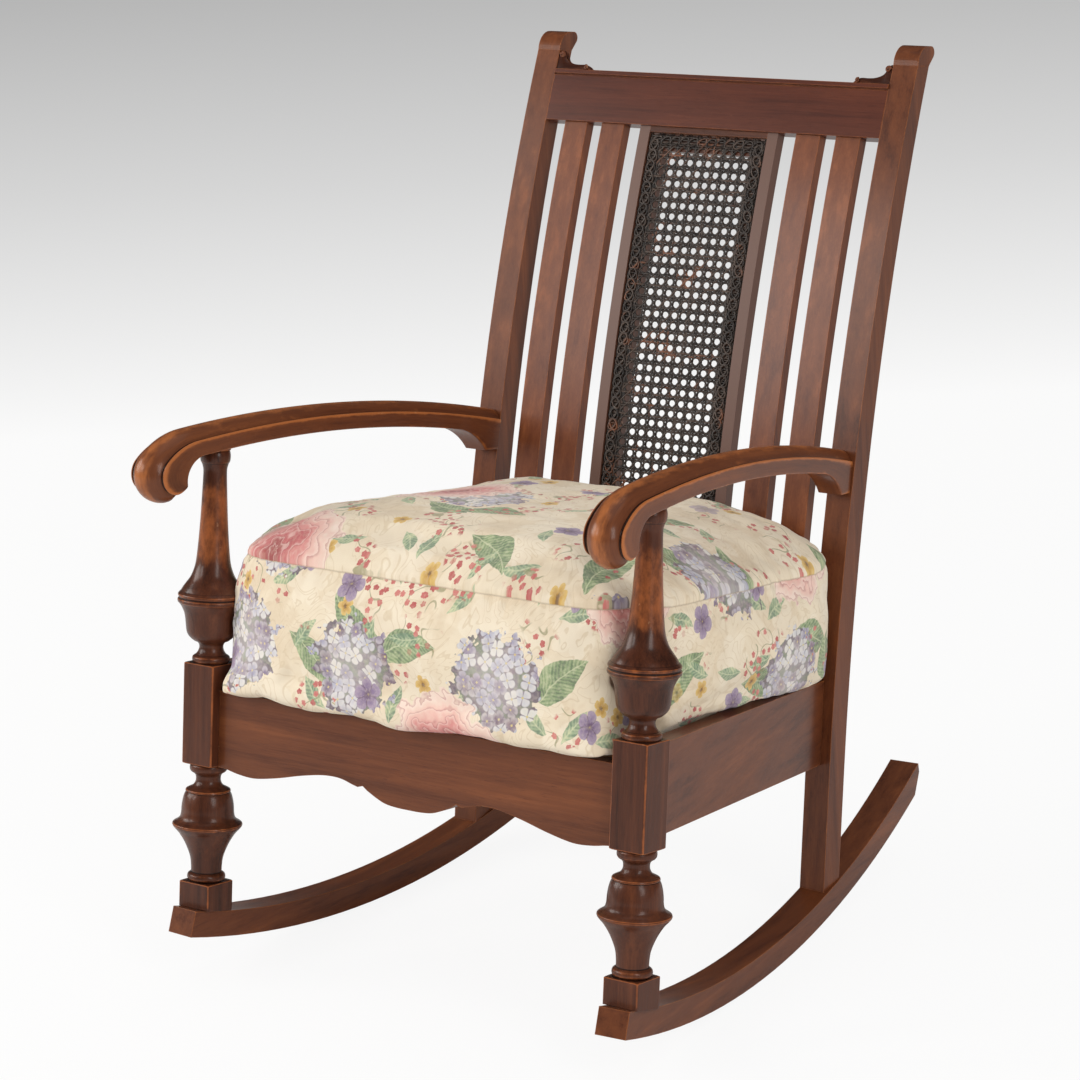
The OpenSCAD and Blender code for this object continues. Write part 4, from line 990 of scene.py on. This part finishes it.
def print_group():
    """Printed cloth: scattered blooms, leaves and sprigs on cream, by two coordinates in metres."""
    t, i, o = group("flower_print", "ShaderNodeTree", [("Vector", "Place", None)],
                    [("Color", "Base Color")])
    v = t.vec("MULTIPLY", i["Place"], (1.0, 1.0, 0.0))

    def clouds(size, *values, **named):
        return t.noise(v, (size, size, 0.0), *values, **named)

    wobble = t.vec("SUBTRACT", clouds(70.0, 3.0, 0.55, out=1), HALF)
    w = t.vec("ADD", v, t.vec("MULTIPLY", wobble, (0.006, 0.006, 0.0)))

    def cells(vector, size, loose, shift):
        """Scattered places: distance, direction, three random numbers and offset from the place."""
        at = t.vec("ADD", vector, (shift, shift * 0.7, 0.0))
        node = t.add("ShaderNodeTexVoronoi", {"Vector": at, "Scale": 1 / size, "Randomness": loose},
                     voronoi_dimensions="2D")
        d = t.vec("SUBTRACT", at, Value(t, node.outputs["Position"]))
        x, y, _ = t.xyz(d)
        return (t.vec("LENGTH", d, out="Value"), t.math("ARCTAN2", y, x),
                t.xyz(Value(t, node.outputs["Color"])), x, y)

    def flowers(vector, size, loose, shift, radius, n, deep):
        """Scattered flowers of n petals: distance as a share of their outline, lobe, and cell."""
        r, turn, pick, _, _ = cells(vector, size, loose, shift)
        lobe = abs(t.math("COSINE", t.math("MULTIPLY_ADD", turn, n / 2, pick[0] * TURN)))
        edge = t.math("MULTIPLY_ADD", lobe ** 0.6, deep * radius, (1 - deep) * radius)
        return r / edge, lobe, r, turn, pick

    def leaves(colour, size, shift, long, wide, share, tones):
        _, _, pick, x, y = cells(w, size, 0.9, shift)
        a = pick[0] * TURN
        ca, sa = t.math("COSINE", a), t.math("SINE", a)
        u = x * ca + y * sa
        k = abs(y * ca - x * sa + u * u * 5.0)
        gap = (1.0 - abs(u / long) ** 1.6) * wide - k
        mask = t.step(gap, 0.0, 0.0009) * t.step(pick[1], share, share - 0.02)
        vein = t.math("SINE", (u - k) * 1150.0)
        tone = t.ramp(clouds(60.0) + vein * 0.09, tuple(zip((0.36, 0.52, 0.7), tones)))
        tone = t.mix(t.step(k, 0.0011, 0.0004) * 0.6, tone, rgb(208, 216, 176))
        return t.mix(mask * 0.92, colour, tone)

    paper = clouds(13.0, 3.0, 0.6, 0.8)
    colour = t.mix(t.step(paper, 0.42, 0.62), rgb(236, 222, 197), rgb(224, 206, 178))
    ghost = flowers(w, 0.082, 0.8, 4.3, 0.034, 6, 0.45)[0]
    colour = t.mix(t.step(ghost, 1.0, 0.9) * 0.35, colour, rgb(247, 238, 220))
    swirl = abs(t.math("FRACT", clouds(17.0, 2.0, 0.45, 1.6) * 9.0) - 0.5)
    colour = t.mix(t.step(swirl, 0.12, 0.03, 0.0, 0.55), colour, rgb(212, 192, 160))
    colour = leaves(colour, 0.096, 0.0, 0.046, 0.0195, 0.66,
                    ((74, 112, 78), (120, 152, 106), (168, 186, 140)))
    colour = leaves(colour, 0.060, 1.7, 0.024, 0.0085, 0.5,
                    ((96, 132, 108), (142, 170, 134), (190, 200, 158)))
    # Thin stems and red berries, in the same patches.
    where = t.step(clouds(15.0, 1.0), 0.53, 0.57)
    stem = t.step(abs(clouds(24.0, 1.0) - 0.5), 0.012, 0.006)
    colour = t.mix(stem * where * 0.7, colour, rgb(128, 128, 84))
    berry, _, _, _, pick = flowers(w, 0.0105, 0.9, 2.1, 0.0039, 5, 0.3)
    berry = t.step(berry, 1.0, 0.85) * where * t.step(pick[1], 0.62, 0.58)
    colour = t.mix(berry, colour, t.mix(pick[2], rgb(178, 62, 70), rgb(208, 116, 112)))
    # Small ochre flowers.
    ochre, _, _, _, pick = flowers(w, 0.074, 0.9, 3.2, 0.0115, 5, 0.42)
    colour = t.mix(t.step(ochre, 1.0, 0.92) * t.step(pick[1], 0.34, 0.32), colour, t.ramp(ochre, (
        (0.1, (120, 84, 40)), (0.35, (196, 150, 62)), (0.95, (222, 186, 104)))))
    # Heads of florets in lilac and white.
    r, _, pick, _, _ = cells(w, 0.165, 0.55, 0.9)
    ruff = clouds(64.0, 2.0)
    head = r / 0.054 + (ruff - 0.5) * 1.25
    mask = t.step(head, 1.0, 0.97) * t.step(pick[1], 0.62, 0.6)
    floret, lobe, _, _, pick = flowers(v, 0.0170, 0.8, 5.5, 0.0112, 4, 0.42)
    tone = t.ramp(pick[1], ((0.0, (92, 62, 102)), (0.18, (122, 106, 150)), (0.4, (166, 170, 198)),
                            (0.62, (224, 222, 216)), (0.86, (196, 198, 212)),
                            (1.0, (104, 62, 96))))
    tone = t.mix(t.step(floret, 0.35, 0.8, 0.0, 0.35), tone, rgb(236, 234, 232))
    tone = t.mix(t.step(lobe, 0.42, 0.12, 0.0, 0.75), tone, rgb(98, 82, 122))
    tone = t.mix(t.step(floret, 0.8, 1.0, 0.0, 0.5), tone, rgb(98, 84, 122))
    tone = t.mix(t.step(floret, 0.16, 0.1), tone, rgb(214, 196, 120))
    under = t.ramp(ruff, ((0.4, (86, 70, 100)), (0.6, (112, 128, 112))))
    tone = t.mix(t.step(floret, 1.0, 0.9), under, tone)
    tone = t.mix(t.step(head, 0.35, 1.0, 0.28, 0.0), tone, rgb(244, 238, 240))
    colour = t.mix(mask * 0.94, colour, tone)
    # Violets.
    violet, lobe, r, turn, pick = flowers(w, 0.108, 0.85, 6.6, 0.0185, 5, 0.36)
    there = t.step(violet, 1.0, 0.94) * t.step(pick[1], 0.4, 0.38)
    streak = t.noise(t.join(turn * 7.0, r * 60.0, pick[0]), None, 2.0)
    tone = t.ramp(violet * 0.75 + streak * 0.3, (
        (0.12, (206, 190, 96)), (0.22, (92, 66, 108)), (0.5, (132, 112, 150)),
        (0.85, (160, 142, 172)), (1.0, (108, 76, 116))))
    tone = t.mix(t.step(lobe, 0.35, 0.1, 0.0, 0.7), tone, rgb(84, 56, 96))
    colour = t.mix(there, colour, tone)
    # Large rose-coloured blooms with folded petals.
    r, turn, pick, _, _ = cells(w, 0.250, 0.4, 8.45)
    bloom = r / 0.074 + (clouds(46.0, 2.0, 0.45) - 0.5) * 0.55
    bloom = t.math("MULTIPLY_ADD", t.math("COSINE", turn * 7.0), 0.03, bloom)
    mask = t.step(bloom, 1.0, 0.985) * t.step(pick[1], 0.72, 0.7)
    fold = t.math("FRACT", t.math("MULTIPLY_ADD", bloom, 5.5, ruff * 1.6))
    tone = t.ramp(bloom, ((0.05, (158, 44, 62)), (0.28, (196, 84, 96)), (0.5, (222, 138, 138)),
                          (0.72, (238, 190, 180)), (1.0, (244, 222, 208))))
    tone = t.mix(t.step(fold, 0.3, 0.0, 0.0, 0.5), tone, rgb(168, 74, 88))
    tone = t.mix(t.step(fold, 0.6, 1.0, 0.0, 0.45), tone, rgb(250, 226, 218))
    colour = t.mix(mask * 0.95, colour, tone)
    faded = clouds(240.0, 3.0, 0.6)
    t.put(o["Base Color"], t.mix(t.step(faded, 0.35, 0.8, 0.04, 0.3), colour, rgb(238, 226, 204)))


def cloth_material(scale):
    """Printed cotton: the top reads x and y, the sides the way round and the height."""
    material, t, bsdf = shader("printed_cotton")
    x, y, z = t.xyz(t.attribute("place", "Vector"))
    side = t.join(t.attribute("around"), z + 1.9, 0.0)
    top = t.join(x, y + 0.35, 0.0)
    over = t.step(t.attribute("seam"), -0.0002, 0.0002)
    place = t.add("ShaderNodeMix", {0: over, 4: side, 5: top}, 1, data_type="VECTOR")
    place = t.vec("DIVIDE", place, (scale, scale, 1.0))
    printed = t.add("ShaderNodeGroup", node_tree=bpy.data.node_groups["flower_print"])
    t.put(printed.inputs["Place"], place)
    thread = t.noise(place, (1100.0, 1500.0, 1.0), 2.0)
    colour = t.mix(t.step(thread, 0.3, 0.75, 0.0, 0.12), t.outputs(printed)[0], rgb(196, 176, 150))
    # Painted shade: the cloth darkened along the seam's crease.
    seam_shade = t.step(abs(t.attribute("seam")), 0.0018, 0.0, 0.0, 0.36)
    colour = t.mix(seam_shade, colour, rgb(150, 128, 98))
    t.surface(bsdf, colour, t.step(thread, 0.3, 0.7, 0.72, 0.86), thread, 0.3, 0.0004,
              values={"Sheen Weight": 0.15, "Specular IOR Level": 0.25})
    return material


def clear_of_wood(p):
    """Keeps the cushion off the rails, back and posts, at rest and as it slides up and ahead."""
    slope = (RAIL_FRONT - RAIL_REAR) / (SEAT_D - POST_SQ)
    rail = RAIL_FRONT - (p[:, 1] - POST_SQ) * slope - RAIL_T * math.hypot(1, slope) - 0.5
    limit = np.where(p[:, 2] < RAIL_TOP, rail, 999)
    ahead, up = 2 * SIN * COS, COS ** 2 - SIN ** 2  # the slide's axis in the chair's frame
    block = (p[:, 1] < POST_SQ + 3.5 + ahead * CUSHION_LIFT) & (p[:, 2] < BLOCK_TOP + 1)
    limit = np.where(block, np.minimum(limit, POST_X - POST_SQ / 2 - ROOM), limit)
    p[:, 0] = np.clip(p[:, 0], -limit, limit)
    shape = np.array([q for run in UPPER_TURNING for q in run])
    for lift in np.linspace(0, CUSHION_LIFT, 10):
        high = p[:, 2] + up * lift
        radius = np.interp(high, BLOCK_TOP + shape[:, 0] * NECK_H, shape[:, 1] * UPPER_RIM) + ROOM
        out = np.stack([np.abs(p[:, 0]) - POST_X, p[:, 1] - POST_Y - ahead * lift], 1)
        far = np.maximum(np.linalg.norm(out, axis=1), 1e-6)
        out *= np.where((far < radius) & (high > BLOCK_TOP), radius / far, 1)[:, None]
        p[:, 0] = np.sign(p[:, 0]) * (out[:, 0] + POST_X)
        p[:, 1] = out[:, 1] + POST_Y + ahead * lift
    p[:, 1] = np.minimum(p[:, 1], bend_face(np.maximum(p[:, 2], BEND_Z)) - 0.6)
    hanging = (p[:, 1] < APRON_FACE - ROOM) & ((np.abs(p[:, 0]) <= 272) | (p[:, 1] <= -1))
    p[:, 2] = np.maximum(p[:, 2], np.where(hanging, CUSHION_Z - 14, CUSHION_Z))
    return p


def fill_out(points, s):
    """The front corners pressed out to the posts, the lower front edge hung over the apron."""
    x, y, z = points.T.copy()
    near = ease((78 - y) / 34) * ease((np.abs(x) - 205) / 45)
    low = CUSHION_Z + 80 - z
    corner = ease((np.abs(x) - 190) / 60) * ease((80 - y) / 50) * ease(low / 65)
    points[:, 0] += np.sign(x) * (1000 * s.fill_out * near + 10 * corner)
    ahead = ease((45 - y) / 35) * ease((low - 18) / 45) * ease((276 - np.abs(x)) / 16)
    points[:, 1] -= 8 * corner + 10 * ahead
    y = points[:, 1].copy()
    points[:, 2] -= 7 * corner * ease((z - CUSHION_Z) / 8)
    wave = np.array([noise.noise(Vector((v / 95, 2.4, 0.7))) for v in x])
    hang = ease((302 - z) / 40) * ease((12 - y) / 9) * ease((272 - np.abs(x)) / 16)
    points[:, 2] -= 1000 * s.droop * np.maximum(0.15, 0.85 + 1.1 * wave) * hang
    points[:, 1] -= 2 * hang
    return points


def slump(points):
    """The side seams and rear corners sunk where the filling has settled; the seam's new height."""
    x, y, z = points.T
    seam = seam_height(y)
    drop = (seam - CUSHION_Z - SEAM_H) * np.clip((np.abs(x) - 70) / 205, 0, 1) ** 2
    foot = CUSHION_Z + 20
    points[:, 2] = z - drop * np.clip((z - foot) / (seam - foot), 0, 1)
    return seam - drop


def soften(mesh, points, weight, times):
    """Each point drawn towards the middle of its neighbours, by its weight."""
    a, b = np.array([e.vertices for e in mesh.edges]).T
    n = len(points)
    neighbours = np.bincount(np.concatenate([a, b]), minlength=n)[:, None]
    for _ in range(times):
        total = np.stack([np.bincount(a, points[b, k], n) + np.bincount(b, points[a, k], n)
                          for k in range(3)], 1)
        points = points + weight[:, None] * 0.5 * (total / neighbours - points)
    return points


def make_cushion(s):
    """The cushion's solid as sewn cloth: remeshed, filled, smoothed, creased and fitted."""
    mesh = frame["nodes"]["cushion"].data.copy()
    bm = bmesh.new()
    bm.from_mesh(mesh)
    bmesh.ops.remove_doubles(bm, verts=bm.verts, dist=1e-5)
    bm.to_mesh(mesh)
    bm.free()
    obj = new_object("cushion_cloth", mesh)
    mod = obj.modifiers.new("remesh", "REMESH")
    mod.mode = "VOXEL"
    mod.voxel_size = s.voxel
    apply_modifiers(obj)
    settle(obj, s)
    mod = obj.modifiers.new("smooth", "SUBSURF")
    mod.levels = mod.render_levels = 1
    fine = apply_modifiers(obj)
    points = to_chair(coordinates(fine))
    normals = to_chair([v.co + v.normal for v in fine.vertices]) - points
    normals /= np.linalg.norm(normals, axis=1)[:, None]
    seam = points[:, 2] - seam_height(points[:, 1])
    weight = np.exp(-(seam / 26) ** 2) * (0.3 + 0.7 * ease((points[:, 1] - 30) / 120))
    points = soften(fine, points, weight, 60)
    push = wrinkle(points)
    push -= 1000 * s.seam_depth * np.exp(-(seam / 3.4) ** 2)
    push += 0.5 * np.exp(-((np.abs(seam) - 9) / 5) ** 2)
    push = np.where(points[:, 2] < CUSHION_Z + 6, np.minimum(push, 0), push)
    points = points + normals * push[:, None]
    line = slump(points)
    points = clear_of_wood(fill_out(points, s))
    place_vertices(fine, to_row(points))
    x, y, z = points.T
    bend = ease((np.abs(x) - 205) / 50)
    add_values(fine, "seam", (z - line) / 1000)
    add_values(fine, "around", (x + np.sign(x) * bend * np.maximum(0, y + 4)) / 1000)
    add_vectors(fine, "place", points / 1000)
    fine.shade_smooth()
    fine.materials.clear()
    fine.materials.append(cloth_material(s.print_scale))
    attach(obj, "cushion")
    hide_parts("cushion")


# ---------------------------------------------------------------- studio

EYE = (2254.7, -2956.0, 1030.7)
CAMERA_TURN, CAMERA_DROP = math.radians(35.53), math.radians(11.54)
PHOTO_LEAN = math.radians(3.56)


def paper_material():
    """Pale studio paper: white near the chair, greyer far behind it."""
    material, t, bsdf = shader("studio_paper")
    x, y, _ = t.xyz(t.object_place())
    far = y * 0.814 - x * 0.581
    near = 1.0 / t.math("MAXIMUM", far + 3.86, 0.5)
    tone = t.ramp(near * 3.0, [(place, (grey,) * 3) for place, grey in (
        (0.2, 177), (0.33, 216), (0.47, 254), (1.0, 255))], "LINEAR")
    t.put(bsdf.inputs["Base Color"], t.mix(0.85, tone, (0.85, 0.85, 0.85, 1.0)))
    bsdf.inputs["Roughness"].default_value = 0.9
    bsdf.inputs["Specular IOR Level"].default_value = 0.1
    glow = t.add("ShaderNodeEmission", {"Color": tone, "Strength": 1.0}, 0)
    seen = t.add("ShaderNodeLightPath", out="Is Camera Ray")
    both = t.add("ShaderNodeMixShader", {0: seen * 0.9, 1: t.outputs(bsdf)[0], 2: glow}, 0)
    end = next(n for n in t.nodes if n.type == "OUTPUT_MATERIAL")
    t.put(end.inputs["Surface"], both)
    return material


def make_room(s):
    """A large sheet of paper under the chair and an even, pale room."""
    n, half = 24, 24.0
    line = [half * (2 * i / n - 1) for i in range(n + 1)]
    corners = [k * (n + 1) + i for k in range(n) for i in range(n)]
    mesh = bpy.data.meshes.new("studio_floor")
    mesh.from_pydata([(x, y, -0.0002) for y in line for x in line], [],
                     [(c, c + 1, c + n + 2, c + n + 1) for c in corners])
    mesh.materials.append(paper_material())
    floor = new_object("studio_floor", mesh)
    world = bpy.data.worlds.new("studio")
    world.use_nodes = True
    t = Tree(world.node_tree)
    back = next(node for node in t.nodes if node.type == "BACKGROUND")
    seen, mirrored = (t.add("ShaderNodeLightPath", out=out)
                      for out in ("Is Camera Ray", "Is Glossy Ray"))
    t.put(back.inputs["Color"], t.mix(seen, (1.0, 0.985, 0.965, 1.0), rgb(176, 176, 176)))
    even = t.math("MULTIPLY_ADD", mirrored, -0.9, 1.0) * s.ambient
    t.put(back.inputs["Strength"], t.math("MAXIMUM", seen, even))
    bpy.context.scene.world = world


def area_light(name, place, height, size, power, colour):
    """A light that faces this height over the floor's middle."""
    data = bpy.data.lights.new(name, "AREA")
    data.shape = "RECTANGLE"
    data.size, data.size_y = size
    data.energy = power
    data.color = colour
    obj = new_object(name, data)
    obj.location = place
    facing = Vector((0, 0, height)) - Vector(place)
    obj.rotation_euler = facing.to_track_quat("-Z", "Y").to_euler()


def make_camera(s):
    """The photograph's camera: level in the frame in which the chair leaned by PHOTO_LEAN."""
    data = bpy.data.cameras.new("photo_camera")
    data.sensor_width = 36.0
    data.lens = s.lens
    data.clip_end = 100.0
    obj = new_object("photo_camera", data)
    flat = math.cos(CAMERA_DROP)
    ahead = Vector((-math.sin(CAMERA_TURN) * flat, math.cos(CAMERA_TURN) * flat,
                    -math.sin(CAMERA_DROP)))
    level = ahead.to_track_quat("-Z", "Y").to_matrix()
    turned = Matrix.Rotation(PHOTO_LEAN - math.atan2(SIN, COS), 3, "X") @ level
    obj.matrix_world = Matrix.Translation(Vector(to_row([EYE])[0])) @ turned.to_4x4()
    bpy.context.scene.camera = obj


# ---------------------------------------------------------------- operators

class CHAIR_OT_woods(bpy.types.Operator):
    """Make the woods and give each piece of the frame the one whose grain runs along it"""

    bl_idname = "chair.woods"
    bl_label = "Frame woods"
    bl_options = {"REGISTER", "UNDO"}

    def execute(self, context):
        wood_group()
        for row in WOODS:
            wood_material(*row, context.scene.chair_wood)
        raw_wood_material()
        for name, obj in frame["nodes"].items():
            for start, material in FINISH.items():
                if name.startswith(start):
                    obj.data.materials.clear()
                    obj.data.materials.append(bpy.data.materials[material])
                    break
        return {"FINISHED"}


class CHAIR_OT_posts(bpy.types.Operator):
    """Turn the two front posts with smooth beads, coves and squared blocks"""

    bl_idname = "chair.posts"
    bl_label = "Front posts"
    bl_options = {"REGISTER", "UNDO"}

    def execute(self, context):
        corner = 1000 * context.scene.chair_wood.foot_chamfer
        for side, sx in SIDES:
            points, faces, grain = turned_post(sx, corner)
            post = make_piece("turned_post_" + side, to_row(points), faces, "post_wood", grain, 32)
            rub_neck(post.data)
            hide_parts("front_post_" + side)
        return {"FINISHED"}


class CHAIR_OT_arms(bpy.types.Operator):
    """Shape the two moulded arms with their beads, coves, crowns and scrolled fronts"""

    bl_idname = "chair.arms"
    bl_label = "Arms"
    bl_options = {"REGISTER", "UNDO"}

    def execute(self, context):
        for side, sx in SIDES:
            points, faces, grain, wear_and_shade = moulded_arm(sx)
            arm = make_piece("moulded_arm_" + side, to_row(points), faces, "mahogany_grain", grain,
                             50, wear_and_shade)
            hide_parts("arm_" + side)
        return {"FINISHED"}


class CHAIR_OT_scrolls(bpy.types.Operator):
    """Carve the leaf scrolls in the corners of the crest"""

    bl_idname = "chair.scrolls"
    bl_label = "Carved scrolls"
    bl_options = {"REGISTER", "UNDO"}

    def execute(self, context):
        s = context.scene.chair_wood
        long, high = 1000 * s.scroll_length, 1000 * s.scroll_height
        for side, sx in SIDES:
            points, faces, grain = carved_scroll(sx, long, high)
            leaf = make_piece("carved_scroll_" + side, to_row(points), faces, "carved_wood", grain,
                              60)
            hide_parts("crest_scroll_" + side)
            rolls = ((5.4, 17.5, 3.4, 1.6, 1.5, 0.0), (long - 6.5, 3.6, 2.6, 1.5, 1.2, 1.2))
            for k, (x, z, *sizes) in enumerate(rolls):
                points, faces = volute(sx, REAR_IN - x, CREST_TOP + z, *sizes)
                make_piece(f"volute_{side}_{k + 1}", to_row(points), faces, "carved_wood",
                           points / 1000, 60)
        return {"FINISHED"}


class CHAIR_OT_cane(bpy.types.Operator):
    """Weave the cane panel and bind its border"""

    bl_idname = "chair.cane"
    bl_label = "Woven cane"
    bl_options = {"REGISTER", "UNDO"}

    def execute(self, context):
        material = cane_material()
        points, faces, strand = woven_panel(context.scene.chair_cane, material)
        mesh = bpy.data.meshes.new("woven_cane")
        mesh.from_pydata([tuple(p) for p in to_row(points)], [], faces)
        add_values(mesh, "strand", strand)
        mesh.shade_smooth()
        mesh.materials.append(material)
        obj = new_object("woven_cane", mesh)
        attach(obj, "frame")
        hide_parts("cane_panel")
        return {"FINISHED"}


class CHAIR_OT_cushion(bpy.types.Operator):
    """Sew, fill and print the loose cushion"""

    bl_idname = "chair.cushion"
    bl_label = "Cushion"
    bl_options = {"REGISTER", "UNDO"}

    def execute(self, context):
        print_group()
        make_cushion(context.scene.chair_cushion)
        return {"FINISHED"}


class CHAIR_OT_stage(bpy.types.Operator):
    """Set up the paper, the lights and the camera"""

    bl_idname = "chair.stage"
    bl_label = "Studio"
    bl_options = {"REGISTER", "UNDO"}

    def execute(self, context):
        s = context.scene.chair_stage
        make_room(s)
        make_camera(s)
        area_light("key_light", (-3.9, -2.0, 2.2), 0.5, (2.2, 2.2), s.key, (1.0, 0.97, 0.93))
        area_light("fill_light", (3.4, -1.6, 2.1), 0.5, (1.2, 2.4), s.fill, (1.0, 0.98, 0.96))
        area_light("sheen_light", (-2.45, -3.5, 2.45), 0.7, (0.8, 1.5), s.sheen, (1.0, 0.98, 0.95))
        area_light("top_light", (0.2, 0.4, 3.6), 0.4, (2.4, 2.4), s.top, (1.0, 1.0, 1.0))
        context.scene.view_settings.view_transform = "Standard"
        return {"FINISHED"}


class CHAIR_PT_panel(bpy.types.Panel):
    """Settings and steps of the rocking chair"""

    bl_idname = "CHAIR_PT_panel"
    bl_label = "Rocking chair"
    bl_space_type = "VIEW_3D"
    bl_region_type = "UI"
    bl_category = "Chair"

    def draw(self, context):
        for label, key, steps in (("Wood", "chair_wood", ("woods", "posts", "arms", "scrolls")),
                                  ("Cane", "chair_cane", ("cane",)),
                                  ("Cushion", "chair_cushion", ("cushion",)),
                                  ("Studio", "chair_stage", ("stage",))):
            box = self.layout.box()
            box.label(text=label)
            settings = getattr(context.scene, key)
            for name in settings.__annotations__:
                box.prop(settings, name)
            for step in steps:
                box.operator("chair." + step)


SETTINGS = {"chair_wood": ChairWoodSettings, "chair_cane": ChairCaneSettings,
            "chair_cushion": ChairCushionSettings, "chair_stage": ChairStageSettings}
CLASSES = (*SETTINGS.values(), CHAIR_OT_woods, CHAIR_OT_posts, CHAIR_OT_arms, CHAIR_OT_scrolls,
           CHAIR_OT_cane, CHAIR_OT_cushion, CHAIR_OT_stage, CHAIR_PT_panel)


def register():
    for cls in CLASSES:
        bpy.utils.register_class(cls)
    for key, cls in SETTINGS.items():
        setattr(bpy.types.Scene, key, bpy.props.PointerProperty(type=cls))


def unregister():
    for key in SETTINGS:
        delattr(bpy.types.Scene, key)
    for cls in reversed(CLASSES):
        bpy.utils.unregister_class(cls)


def main():
    """Registers the add-on and runs its steps in order."""
    register()
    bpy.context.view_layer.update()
    bpy.ops.chair.woods()
    bpy.ops.chair.posts()
    bpy.ops.chair.arms()
    bpy.ops.chair.scrolls()
    bpy.ops.chair.cane()
    bpy.ops.chair.cushion()
    bpy.ops.chair.stage()


if __name__ == "__main__":
    main()
